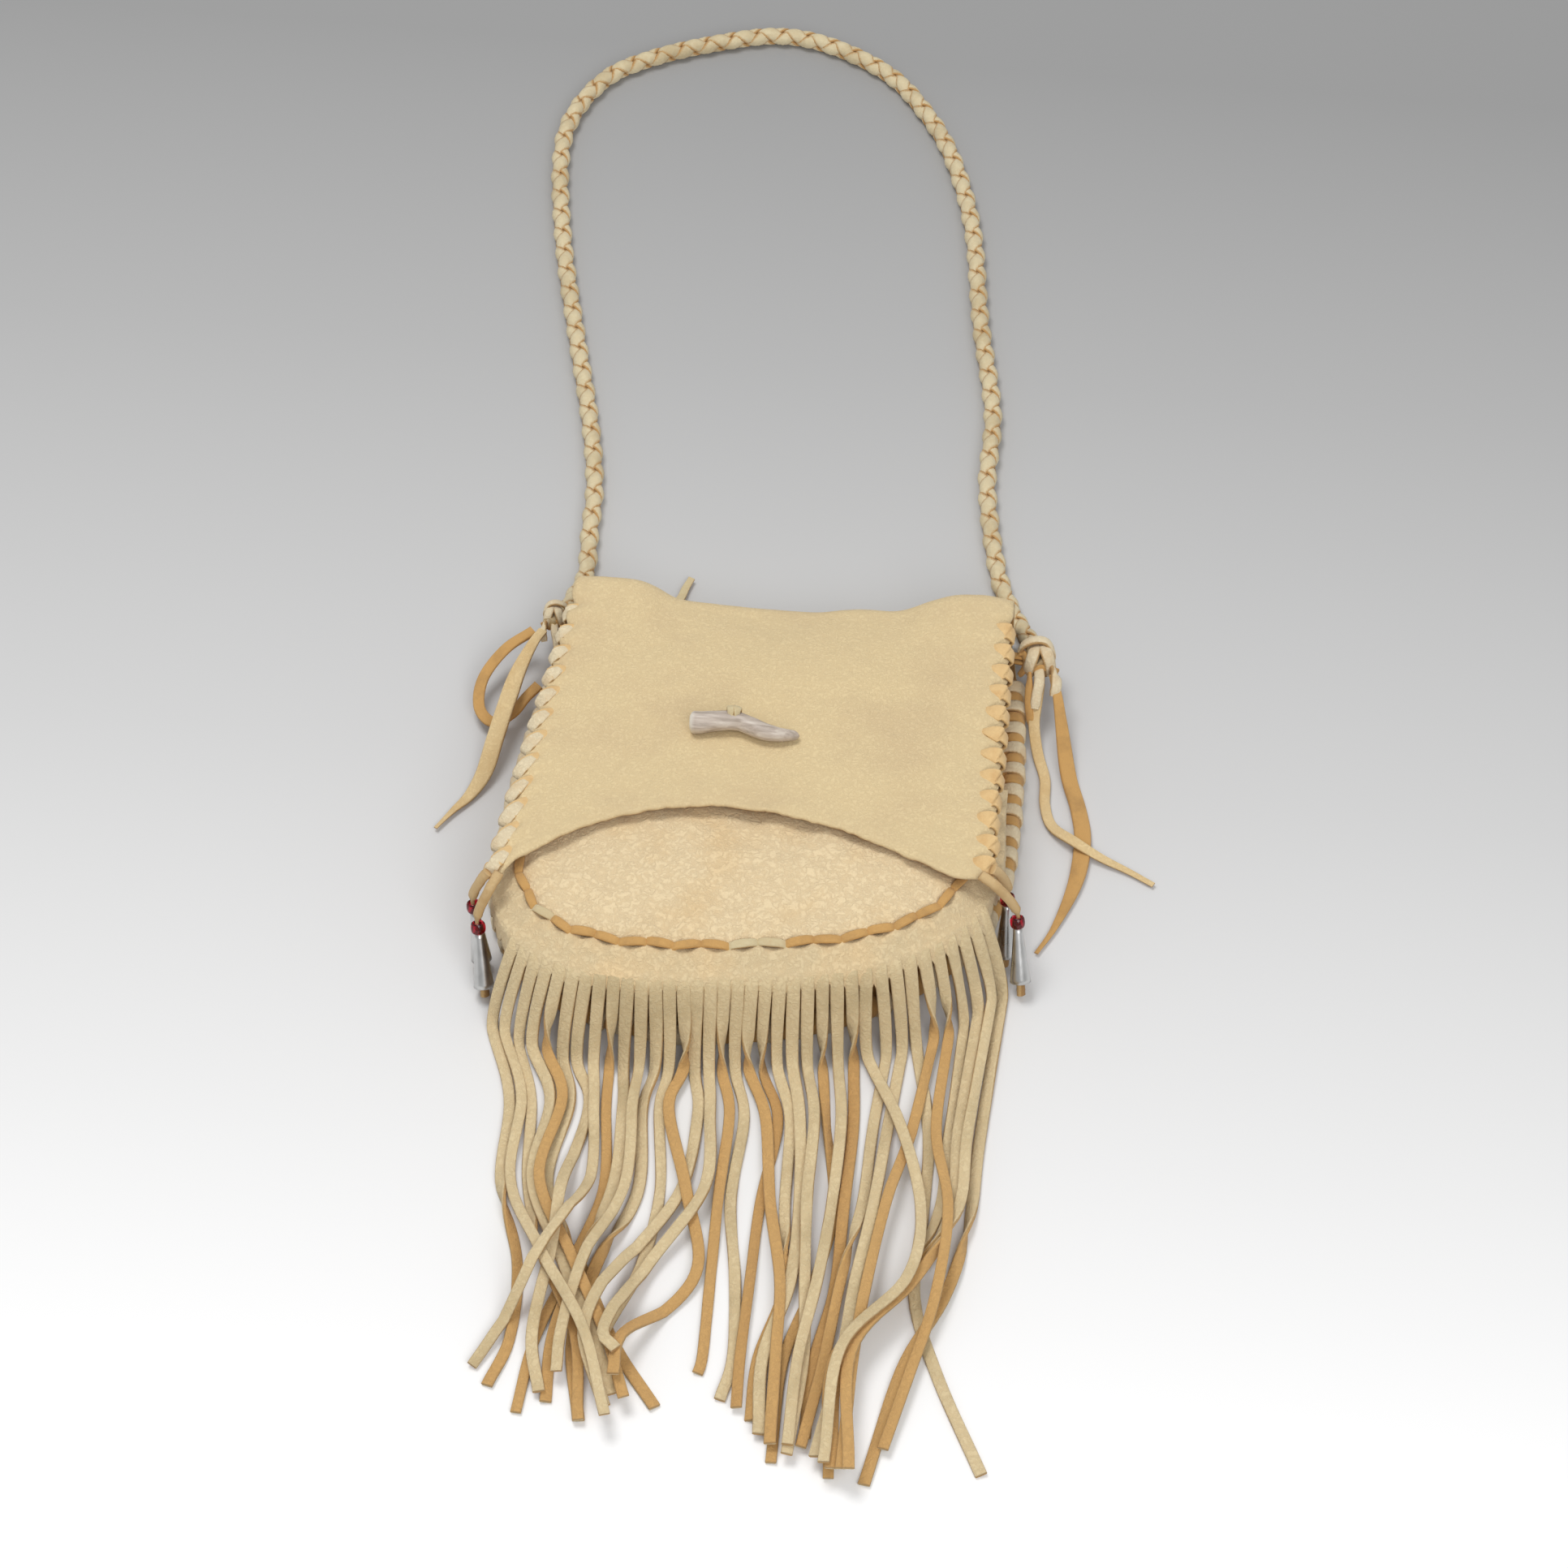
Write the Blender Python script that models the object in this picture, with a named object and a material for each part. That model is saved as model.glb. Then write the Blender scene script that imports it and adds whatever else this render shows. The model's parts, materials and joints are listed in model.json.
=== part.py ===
"""Fringed hide pouch with a braided strap, lying on its back as on a table.

Metres, +Z up. The origin is the middle of the back panel's underside, on the table.
+X is the pouch's right side seen from above, +Y runs towards the strap.
The pouch is drawn square and level, and settle() then slumps it a little to one side.
"""
import math

import bpy
import bmesh
import numpy as np
from mathutils import Matrix

# Hides and running clearance
HIDE = 0.0018
GAP = 0.0003

# Back panel's outline
BACK_HALF_TOP = 0.0955
BACK_HALF_WIDTH = 0.1075
BACK_BOTTOM_Y = -0.1105
BACK_ROUNDNESS = 2.2
TOP_Y = 0.112
WIDEST_Y = -0.020

# Front panel's outline
MOUTH_Y = 0.084
FRONT_HALF_TOP = 0.0900
FRONT_HALF_WIDTH = 0.1010
FRONT_BOTTOM_Y = -0.0990
FRONT_ROUNDNESS = 2.9

# Height of the front seam above the table at the two ends of the pouch
SEAM_Z_TOP = 0.0222
SEAM_Z_BOTTOM = 0.0430
CROWN = 0.0040
CROWN_INSET = 0.0300

# The pouch has slumped: its right side lies a little further up than its left
SLUMP_TOP = 0.039
SLUMP_RATE = 0.39
TOP_SHIFT = 0.0035

# Lacing
LACE = 0.0020
LACE_PLAY = 0.0007
SEAM_INSET = 0.0048
FRONT_INSET = 0.0057
SLIT_LENGTH = 0.0060
SLITS = 31
FLAP_SLITS = 12
BACK_MARGIN = 0.0160
BACK_FLANGE = 0.0088
FRONT_FLANGE = 0.0112

# Flap
HINGE_Z = 0.0225
FOLD_RADIUS = 0.0090
FLAP_HALF_TOP = 0.0955
FLAP_HALF_BOTTOM = 0.1035
FLAP_CORNER_Y = -0.0630
FLAP_ARCH_Y = -0.0235
FLAP_ARCH_X = -0.0120
CROWN_REACH = 0.0600

# Fringe
FRINGED_SLITS = 12
STRANDS_PER_SLIT = 3
CUT = 0.0009
BAND_OUT = 0.0080
BAND_DROP = 0.0030
FOOT_OUT = 0.0225
STRAND_WIDTH = 0.0046

# Where each strand lies on the table, in millimetres: x at four distances down the fringe,
# then the end's x and y, then the layer it lies in
FRINGE_Y = (-0.149, -0.189, -0.227, -0.262)
STRANDS = (
    (-88, -86, -74, -72, -78, -285, 0), (-83, -82, -65, -43, -29, -300, 2),
    (-79, -75, -63, -46, -40, -298, 1), (-71, -73, -56, -39, -28, -286, 1),
    (-66, -70, -52, -34, -23, -289, 1), (-63, -67, -48, -30, -11, -288, 0),
    (-55, -60, -60, -63, -57, -287, 1), (-53, -50, -63, -78, -85, -277, 3),
    (-48, -44, -52, -62, -65, -296, 0), (-41, -40, -48, -55, -54, -290, 0),
    (-37, -35, -46, -51, -51, -279, 1), (-33, -30, -42, -47, -40, -297, 0),
    (-26, -21, -25, -36, -33, -281, 0),
    (-22, -10, -2, -26, -28, -282, 2), (-10, -13, -32, -42, -30, -294, 1),
    (-5, -3, -22, -34, -28, -272, 2),
    (3, 3, 4, 5, 4, -271, 1), (9, 8, 14, 17, 14, -282, 0),
    (18, 24, 32, 34, 36, -302, 2),
    (23, 20, 20, 20, 21, -286, 0), (28, 30, 34, 27, 27, -290, 0),
    (32, 36, 36, 29, 31, -297, 1), (38, 39, 42, 45, 43, -306, 1),
    (43, 50, 45, 37, 37, -308, 0), (49, 49, 47, 43, 43, -303, 2),
    (54, 54, 54, 49, 49, -296, 0), (73, 85, 83, 60, 58, -312, 3),
    (62, 61, 56, 53, 48, -301, 0), (68, 66, 62, 60, 54, -307, 1),
    (85, 86, 86, 98, 119, -305, 0), (78, 71, 67, 65, 65, -314, 2),
    (88, 96, 95, 88, 80, -299, 3), (93, 92, 79, 57, 60, -313, 0),
    (97, 97, 81, 60, 61, -313, 1), (101, 100, 85, 64, 68, -315, 2),
    (106, 105, 98, 84, 74, -314, 0),
)

# Strap: a round four-strand braid, and its route on the table in millimetres
STRAP = 0.0080
STRAP_ROUTE = (
    (-94, 120, 6.5), (-93, 132, 4), (-94.5, 158, 4), (-96, 186, 4), (-103, 224, 4), (-118, 284, 4),
    (-130, 335, 4), (-138.5, 388, 4), (-137, 420, 4), (-124, 448, 4), (-104, 464, 4), (-76, 477, 4),
    (-45, 486, 4), (-18, 482, 4), (11, 466, 4), (30, 444, 4), (47, 413, 4), (61, 366, 4),
    (70, 304, 4), (80, 248, 4), (81, 203, 4), (89, 156, 4), (97, 132, 4), (104, 119, 6.5),
)
STRAP_POINTS = 52
KNOT = 0.0130
KNOT_LENGTH = 0.0210
KNOT_LEFT = (-0.1020, 0.0960, 0.0155)
KNOT_RIGHT = (0.1125, 0.0930, 0.0155)
ROOT = 0.0050

# Loose thongs that leave the knots and the back, in millimetres
LEFT_LOOP = ((-110, 88, 16), (-121, 78, 14), (-129, 64, 10), (-129, 50, 7), (-122, 43, 6),
             (-114, 48, 8), (-110, 58, 11))
LEFT_TAIL = ((-105.4, 85.8, 19.3), (-108.5, 78, 20), (-113, 62, 19), (-116, 46, 16), (-119, 30, 11), (-122, 16, 5),
             (-127, 5, 2), (-133, -4, 2), (-139, -14, 2))
RIGHT_TAIL_A = ((118.7, 83.4, 20.2), (121.6, 74, 16), (124, 64, 11), (129, 42, 3), (134.5, 25, 1.5),
                (137.5, 8, 1.5), (136, -14, 1.5), (129, -38, 1.5), (122, -53, 1.5))
RIGHT_TAIL_B = ((113.1, 80.6, 16.9), (112.6, 73, 12.3), (112.3, 65, 7), (115, 53, 2.2), (119, 40, 1.6),
                (120, 26, 1.6), (124, 14, 2.4), (134, 5, 4.9), (146, -1, 2.8), (158, -6, 1.6), (169, -12, 1.5))
BACK_TAIL = ((-61, 112.3, 9.5), (-55, 117.5, 4.5), (-50, 124, 2), (-48, 131, 2), (-46, 137, 2))
TAIL_WIDTH = 0.0052
TAIL_THICK = 0.0020

# Toggle: a bent antler tine tied across the flap
TOGGLE_ROUTE = ((-31, 14.4, 0), (-26, 14.2, 0), (-20, 14.8, 0.3), (-13, 15.0, 0.6), (-6, 13.5, 0.6),
                (1, 11.1, 0.4), (7, 9.7, 0), (12, 9.3, -0.6), (16, 9.4, -1.2))
TOGGLE_BLUNT = 0.0094
TOGGLE_TIP = 0.0020
TIE = 0.0026
TIE_FOOT = 0.0045
TIE_AT = 3

# Jingles: a glass bead and a rolled tin cone on a thong
BEAD = 0.0063
BEAD_HEIGHT = 0.0048
BORE = 0.0029
CONE_LENGTH = 0.0240
CONE_TOP = 0.0038
CONE_BOTTOM = 0.0088
TIN = 0.0004
THONG = 0.0017
TIP_LENGTH = 0.0050
JINGLES = {
    "left_a": ((-107.2, -72, 48), (-110, -73, 42), (-112, -75, 31), (0.10, -0.26, -0.80), 0.0240),
    "left_b": ((-103.0, -74.2, 47.6), (-107, -80, 40), (-109, -84, 29), (0.10, -0.40, -0.72), 0.0235),
    "right_a": ((103.3, -48.2, 48.6), (106.5, -47, 42), (108.5, -48, 31), (0.02, -0.34, -0.76), 0.0240),
    "right_b": ((100.8, -53.1, 48.2), (108.5, -56, 42), (113.5, -58.5, 30), (0.10, -0.44, -0.72), 0.0250),
}

# Modelled smoothness
OUTLINE_SAMPLES = 600
STRAND_STEPS = 5
CELL = 0.0005
MM = 0.001

BUCKSKIN = (0.80, 0.68, 0.46, 1.0)
FRONT_SKIN = (0.82, 0.68, 0.48, 1.0)
FRINGE_SKIN = (0.72, 0.61, 0.42, 1.0)
SUEDE = (0.60, 0.36, 0.15, 1.0)
LACE_SKIN = (0.62, 0.47, 0.26, 1.0)
STRAP_SKIN = (0.76, 0.67, 0.50, 1.0)
ANTLER = (0.55, 0.45, 0.40, 1.0)
RED_GLASS = (0.20, 0.01, 0.03, 1.0)
TINPLATE = (0.62, 0.62, 0.60, 1.0)


def clear_scene():
    for old in list(bpy.data.objects):
        bpy.data.objects.remove(old, do_unlink=True)


def material(name, colour, roughness=0.85, metallic=0.0):
    mat = bpy.data.materials.get(name) or bpy.data.materials.new(name)
    mat.use_nodes = True
    mat.diffuse_color = colour
    shader = mat.node_tree.nodes["Principled BSDF"]
    shader.inputs["Base Color"].default_value = colour
    shader.inputs["Roughness"].default_value = roughness
    shader.inputs["Metallic"].default_value = metallic
    return mat


def add_object(name, mesh, mat):
    mesh.materials.append(mat)
    obj = bpy.data.objects.new(name, mesh)
    bpy.context.scene.collection.objects.link(obj)
    return obj


def mesh_object(name, points, faces, mat, smooth_angle=35):
    bm = bmesh.new()
    verts = [bm.verts.new(p) for p in points]
    for face in faces:
        bm.faces.new([verts[i] for i in face])
    bmesh.ops.recalc_face_normals(bm, faces=bm.faces)
    mesh = bpy.data.meshes.new(name)
    bm.to_mesh(mesh)
    bm.free()
    mesh.shade_smooth()
    mesh.set_sharp_from_angle(angle=math.radians(smooth_angle))
    return add_object(name, mesh, mat)


# Shapes that the pieces share

def settle(point):
    """Slump a point of the square pouch to where the leather came to rest."""
    x, y, z = point
    shear = SLUMP_TOP + SLUMP_RATE * (TOP_Y - y)
    return np.array((x + TOP_SHIFT * y / TOP_Y, y + x * shear, z))


def u_outline(half_top, half_width, bottom_y, roundness):
    """A fine U from the top left corner, round the bottom, to the top right corner."""
    side_y = np.linspace(MOUTH_Y, WIDEST_Y, OUTLINE_SAMPLES // 4, endpoint=False)
    rise = (side_y - WIDEST_Y) / (TOP_Y - WIDEST_Y)
    side_x = half_width - (half_width - half_top) * rise ** 2
    turn = np.linspace(0, math.pi, OUTLINE_SAMPLES)
    power = 2.0 / roundness
    bottom_x = -half_width * np.sign(np.cos(turn)) * np.abs(np.cos(turn)) ** power
    bottom = WIDEST_Y - (WIDEST_Y - bottom_y) * np.abs(np.sin(turn)) ** power
    left = np.column_stack((-side_x, side_y))
    right = np.column_stack((side_x, side_y))[::-1]
    return np.vstack((left, np.column_stack((bottom_x, bottom)), right))


class Seam:
    """A panel's outline, read by the share of its length, with its outward normal."""

    def __init__(self, points):
        self.points = points
        steps = np.linalg.norm(np.diff(points, axis=0), axis=1)
        self.along = np.concatenate(([0.0], np.cumsum(steps)))
        self.length = self.along[-1]

    def at(self, share):
        s = np.clip(share, 0.0, 1.0) * self.length
        return np.array([np.interp(s, self.along, self.points[:, k]) for k in (0, 1)])

    def normal(self, share):
        reach = 0.002 / self.length
        tangent = self.at(share + reach) - self.at(share - reach)
        tangent /= np.linalg.norm(tangent)
        return np.array((tangent[1], -tangent[0]))

    def offset(self, share, outward):
        return self.at(share) + self.normal(share) * outward


def seam_z(y):
    """Height of the front panel's margin, which rises towards the pouch's bottom."""
    return SEAM_Z_TOP + (SEAM_Z_BOTTOM - SEAM_Z_TOP) * (TOP_Y - y) / (TOP_Y - FRONT_BOTTOM_Y)


def cell_sheet(name, lower, upper, present, mat, fold=None):
    """A closed sheet over a grid of cells. Cells that aren't present are holes or cuts.
    With a fold column, the last row closes on itself: its two halves meet point for point."""
    rows, cols = lower.shape[:2]
    index = {}
    points = []
    top_faces = []

    def corner(i, j):
        if fold is not None and i == rows - 1:
            j = min(j, cols - 1 - j, fold)
        if (i, j) not in index:
            index[i, j] = len(points) // 2
            points.append(upper[i, j])
            points.append(lower[i, j])
        return index[i, j]

    for i in range(rows - 1):
        for j in range(cols - 1):
            if not present[i, j]:
                continue
            ring = [corner(i, j), corner(i + 1, j), corner(i + 1, j + 1), corner(i, j + 1)]
            ring = [c for k, c in enumerate(ring) if c != ring[k - 1]]
            top_faces.append(ring)
    edges = {(ring[k - 1], c) for ring in top_faces for k, c in enumerate(ring)}
    faces = [[2 * c for c in ring] for ring in top_faces]
    faces += [[2 * c + 1 for c in reversed(ring)] for ring in top_faces]
    for a, b in sorted(edges):
        if (b, a) not in edges:
            faces.append([2 * b, 2 * a, 2 * a + 1, 2 * b + 1])
    return mesh_object(name, points, faces, mat)


def tube(name, path, section, up, mat, scales=None):
    """A closed prism along a path, mitred at each bend so that its sides stay flat."""
    path = [np.array(p, float) for p in path]
    heading = [b - a for a, b in zip(path, path[1:])]
    heading = [h / np.linalg.norm(h) for h in heading]
    side = np.cross(heading[0], np.array(up, float))
    side /= np.linalg.norm(side)
    over = np.cross(side, heading[0])
    scales = scales or [1.0] * len(path)
    ring = [side * a + over * b for a, b in section]
    points = [path[0] + r * scales[0] for r in ring]
    for k in range(1, len(path)):
        inward = heading[k - 1]
        if k < len(heading):
            mitre = inward + heading[k]
            at_bend = [r - inward * (r @ mitre) / (inward @ mitre) for r in ring]
            ring = [r - heading[k] * (r @ heading[k]) for r in at_bend]
        else:
            at_bend = ring
        points += [path[k] + r * scales[k] for r in at_bend]
    count = len(section)
    faces = [list(range(count))[::-1]]
    for k in range(len(path) - 1):
        for j in range(count):
            a, b = k * count + j, k * count + (j + 1) % count
            faces.append([a, b, b + count, a + count])
    faces.append([(len(path) - 1) * count + j for j in range(count)])
    return mesh_object(name, points, faces, mat)


def lace(name, path, mat):
    """A rolled lace along its stitches, drawn with four sides."""
    return tube(name, path, round_section(LACE, 4), (0, 1, 0), mat)


def flat(width, thick):
    return [(-width / 2, -thick / 2), (width / 2, -thick / 2), (width / 2, thick / 2), (-width / 2, thick / 2)]


def round_section(diameter, sides):
    angles = [2 * math.pi * k / sides for k in range(sides)]
    return [(diameter / 2 * math.cos(a), diameter / 2 * math.sin(a)) for a in angles]


def turned(name, profile, start, direction, sides, mat):
    """A closed profile of (radius, distance) turned about the line from start."""
    axis = np.array(direction, float)
    axis /= np.linalg.norm(axis)
    side = np.cross(axis, (0.0, 0.0, 1.0))
    side /= np.linalg.norm(side)
    over = np.cross(side, axis)
    points = []
    for k in range(sides):
        angle = 2 * math.pi * k / sides
        outward = side * math.cos(angle) + over * math.sin(angle)
        points += [np.array(start) + outward * r + axis * d for r, d in profile]
    count = len(profile)
    faces = []
    for k in range(sides):
        for j in range(count):
            a, b = k * count + j, k * count + (j + 1) % count
            shift = ((k + 1) % sides) * count - k * count
            faces.append([a, b, b + shift, a + shift])
    return mesh_object(name, points, faces, mat)


def smooth_route(route, count):
    """Evenly spaced points on a Catmull-Rom curve through a route."""
    route = np.array(route, float)
    ends = np.vstack((2 * route[0] - route[1], route, 2 * route[-1] - route[-2]))
    fine = []
    for k in range(len(route) - 1):
        a, b, c, d = ends[k:k + 4]
        for t in np.linspace(0, 1, 24, endpoint=False):
            fine.append(0.5 * (2 * b + (c - a) * t + (2 * a - 5 * b + 4 * c - d) * t ** 2
                               + (3 * b - a - 3 * c + d) * t ** 3))
    fine = np.array(fine + [route[-1]])
    along = np.concatenate(([0.0], np.cumsum(np.linalg.norm(np.diff(fine, axis=0), axis=1))))
    wanted = np.linspace(0, along[-1], count)
    return np.column_stack([np.interp(wanted, along, fine[:, k]) for k in range(fine.shape[1])])


# Positions along the seams

PITCH = 1.0 / SLITS
MIDDLE = SLITS // 2
LAST_FRINGED = MIDDLE + FRINGED_SLITS // 2
FIRST_FRINGED = LAST_FRINGED + 1 - FRINGED_SLITS

BACK_SEAM = Seam(u_outline(BACK_HALF_TOP, BACK_HALF_WIDTH, BACK_BOTTOM_Y, BACK_ROUNDNESS))
FRONT_SEAM = Seam(u_outline(FRONT_HALF_TOP, FRONT_HALF_WIDTH, FRONT_BOTTOM_Y, FRONT_ROUNDNESS))

HOLE = LACE + 2 * LACE_PLAY
HOLE_OUT = SEAM_INSET - HOLE / 2
HOLE_IN = SEAM_INSET + HOLE / 2
SLIT_OUT = FRONT_INSET - SLIT_LENGTH / 2
SLIT_IN = FRONT_INSET + SLIT_LENGTH / 2
UNDER_LACE = LACE + 2 * GAP
BACK_FLANGE_Z = UNDER_LACE + HIDE + GAP
FRINGE_ON_SEAM = HIDE + GAP


def slit_share(k):
    return (k + 0.5) * PITCH


def slit_stations(half_slit):
    """The two sides of every slit, as shares of the seam, with the seam's two ends."""
    stations = [0.0]
    for k in range(SLITS):
        stations += [slit_share(k) - half_slit, slit_share(k) + half_slit]
    return stations + [1.0]


def half_panel_rows(seam, slit_length):
    """Stations from the mouth down to the bottom's middle, for a panel folded about it."""
    half = slit_length / 2 / seam.length
    rows = [0.0]
    for k in range(MIDDLE):
        rows += [slit_share(k) - half, slit_share(k) + half]
    return rows + [slit_share(MIDDLE) - half, slit_share(MIDDLE)]


def is_slit_row(i, first):
    return i >= first and (i - first) % 2 == 1


def make_back_panel():
    """The back hide: flat on the table, its laced margin raised, its top turned up."""
    rows = half_panel_rows(BACK_SEAM, HOLE)
    bend = FOLD_RADIUS
    slope = math.sqrt(0.5)
    lifted = (UNDER_LACE, UNDER_LACE, UNDER_LACE, 0.0)
    insets = (0.0, HOLE_OUT, HOLE_IN, BACK_MARGIN)
    top_rows = ((TOP_Y, HINGE_Z - GAP / 2, -1.0, 0.0), (TOP_Y, bend, -1.0, 0.0),
                (TOP_Y - bend * (1 - slope), bend * (1 - slope), -slope, slope),
                (TOP_Y - bend, 0.0, 0.0, 1.0))
    lower = np.zeros((len(top_rows) + len(rows), 9, 3))
    upper = np.zeros_like(lower)
    for i, (y, z, ny, nz) in enumerate(top_rows):
        for j in range(9):
            inset = insets[min(j, 8 - j)] if j != 4 else BACK_HALF_TOP
            x = (inset - BACK_HALF_TOP) * (1 if j <= 4 else -1)
            lower[i, j] = settle((x, y, z))
            upper[i, j] = settle((x, y + ny * HIDE, z + nz * HIDE))
    for i, share in enumerate(rows, start=len(top_rows)):
        for j, inset in enumerate(insets):
            x, y = BACK_SEAM.offset(share, -inset)
            for column, side in ((j, 1), (8 - j, -1)):
                lower[i, column] = settle((x * side, y, lifted[j]))
        lower[i, 4] = (lower[i, 3] + lower[i, 5]) / 2
        upper[i] = lower[i] + (0, 0, HIDE)
    present = np.ones((lower.shape[0] - 1, 8), bool)
    for i in range(len(rows) - 1):
        if is_slit_row(i, 0):
            present[i + len(top_rows), [1, 6]] = False
    cell_sheet("back_panel", lower, upper, present, material("back_hide", BUCKSKIN), len(insets) - 1)


def make_front_panel():
    """The front hide: a flat laced margin round a low crown."""
    rows = half_panel_rows(FRONT_SEAM, HOLE)
    insets = (0.0, SLIT_OUT, SLIT_IN, CROWN_INSET)
    crown = (0.0, 0.0, 0.0, 0.7 * CROWN)
    columns = 2 * len(insets) + 1
    lower = np.zeros((len(rows), columns, 3))
    for i, share in enumerate(rows):
        for j, inset in enumerate(insets):
            x, y = FRONT_SEAM.offset(share, -inset)
            z = seam_z(y) + crown[j]
            lower[i, j] = settle((x, y, z))
            lower[i, columns - 1 - j] = settle((-x, y, z))
        middle = (lower[i, len(insets) - 1] + lower[i, len(insets)+1]) / 2
        middle[2] += 0.3 * CROWN * min(1.0, abs(x) / 0.040)
        lower[i, len(insets)] = middle
    upper = lower + (0, 0, HIDE)
    present = np.ones((len(rows) - 1, columns - 1), bool)
    for i in range(len(rows) - 1):
        if is_slit_row(i, 0):
            present[i, [1, columns - 3]] = False
    cell_sheet("front_panel", lower, upper, present, material("front_hide", FRONT_SKIN), len(insets) - 1)


def make_gusset():
    """The side hide, turned outward at both edges and laced there to its neighbours."""
    profile = ((0, 0.0), (0, -HOLE_OUT), (0, -HOLE_IN), (0, -BACK_FLANGE),
               (1, -FRONT_FLANGE), (1, -SLIT_IN), (1, -SLIT_OUT), (1, 0.0))
    back = slit_stations(HOLE / 2 / BACK_SEAM.length)
    front = slit_stations(HOLE / 2 / FRONT_SEAM.length)
    lower = np.zeros((len(back), len(profile), 3))
    upper = np.zeros_like(lower)
    for i, (b_share, f_share) in enumerate(zip(back, front)):
        normal = FRONT_SEAM.normal(f_share)
        line = []
        for on_front, outward in profile:
            x, y = (FRONT_SEAM.offset(f_share, outward) if on_front
                    else BACK_SEAM.offset(b_share, outward))
            z = (seam_z(y) - GAP - FRINGE_ON_SEAM - HIDE / 2 if on_front
                 else BACK_FLANGE_Z + HIDE / 2)
            line.append(np.array((x, y, z)))
        for j, point in enumerate(line):
            before = line[j] - line[j - 1] if j else line[1] - line[0]
            after = line[j + 1] - line[j] if j + 1 < len(line) else before
            faces = []
            for run in (before, after):
                run = run / np.linalg.norm(run)
                across = np.array((-normal[1], normal[0], 0.0))
                faces.append(np.cross(run, across))
            mitre = faces[0] + faces[1]
            mitre /= np.linalg.norm(mitre)
            mitre *= HIDE / 2 / (mitre @ (faces[0] / np.linalg.norm(faces[0])))
            lower[i, j] = settle(point - mitre)
            upper[i, j] = settle(point + mitre)
    present = np.ones((len(back) - 1, len(profile) - 1), bool)
    present[1::2, 1] = False
    present[1::2, 5] = False
    cell_sheet("gusset", lower, upper, present, material("gusset_hide", BUCKSKIN))


def fringe_columns():
    """Columns of the fringe's strip: at the seam, at the cuts, and each strand's first column."""
    half = HOLE / 2 / FRONT_SEAM.length
    cut = CUT / FRONT_SEAM.length
    width = (PITCH - STRANDS_PER_SLIT * cut) / STRANDS_PER_SLIT
    at_seam, at_cut, slit_columns, strand_columns = [0.0], [0.0], [], []
    for k in range(SLITS):
        middle = slit_share(k)
        if FIRST_FRINGED <= k <= LAST_FRINGED:
            first = middle - PITCH / 2 + cut / 2
            for strand in range(STRANDS_PER_SLIT):
                left = first + strand * (width + cut)
                strand_columns.append(len(at_cut))
                at_cut += [left, left + width]
                if strand == STRANDS_PER_SLIT // 2:
                    slit_columns.append(len(at_seam))
                    at_seam += [middle - half, middle + half]
                else:
                    at_seam += [left, left + width]
        else:
            slit_columns.append(len(at_seam))
            at_seam += [middle - half, middle + half]
            at_cut += [middle - half, middle + half]
    return at_seam + [1.0], at_cut + [1.0], slit_columns, strand_columns


class HeightMap:
    """How high the strands already laid reach above each spot of the table."""

    def __init__(self):
        self.low = np.array((-0.20, -0.36))
        self.height = np.zeros((800, 640))

    def cells(self, a, b, width):
        along = b[:2] - a[:2]
        length = np.linalg.norm(along)
        side = np.array((-along[1], along[0])) / length
        reach = width / 2 + GAP
        t = np.linspace(0, 1, max(2, int(length / CELL * 1.5)))
        w = np.linspace(-reach, reach, int(2 * reach / CELL * 1.5))
        spots = (a[:2] + t[:, None, None] * along + w[None, :, None] * side).reshape(-1, 2)
        cell = ((spots - self.low) / CELL).astype(int)
        return cell[:, 0], cell[:, 1], np.repeat(t, len(w))

    def under(self, a, b, width):
        x, y, _ = self.cells(a, b, width)
        return self.height[x, y].max()

    def lay(self, a, b, width, z_a, z_b):
        x, y, t = self.cells(a, b, width)
        np.maximum.at(self.height, (x, y), z_a + (z_b - z_a) * t)


def strand_paths(cut_points, cut_normals):
    """Each strand's middle line from the cut to its end, stacked where strands cross.
    It falls half way between straight down the pouch and straight out from the seam."""
    table = HeightMap()
    paths = {}
    order = sorted(range(len(STRANDS)), key=lambda k: (STRANDS[k][6], k))
    for k in order:
        x1, x2, x3, x4, end_x, end_y, _ = STRANDS[k]
        start = cut_points[k]
        fall = cut_normals[k] + (0.0, -1.0)
        foot = start[:2] + fall * FOOT_OUT / np.linalg.norm(fall)
        bend = start[:2] + (foot - start[:2]) * 0.45
        route = [foot] + [np.array((x * MM, y)) for x, y in zip((x1, x2, x3, x4), FRINGE_Y)]
        route.append(np.array((end_x * MM, end_y * MM)))
        plan = smooth_route(route, STRAND_STEPS + 1)
        needed = [table.under(a, b, STRAND_WIDTH) + GAP for a, b in zip(plan, plan[1:])]
        needed = [0.0 if n <= GAP else n for n in needed]
        heights = [max(needed[max(i - 1, 0):i + 1]) for i in range(len(plan))]
        heights = [h + HIDE / 2 + 0.0001 for h in heights]
        for i in range(len(plan) - 1):
            table.lay(plan[i], plan[i + 1], STRAND_WIDTH,
                      heights[i] + HIDE / 2, heights[i + 1] + HIDE / 2)
        drop = np.array((*bend, 0.58 * start[2] + 0.42 * heights[0]))
        paths[k] = [drop] + [np.array((*p, h)) for p, h in zip(plan, heights)]
    return [paths[k] for k in range(len(STRANDS))]


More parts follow.
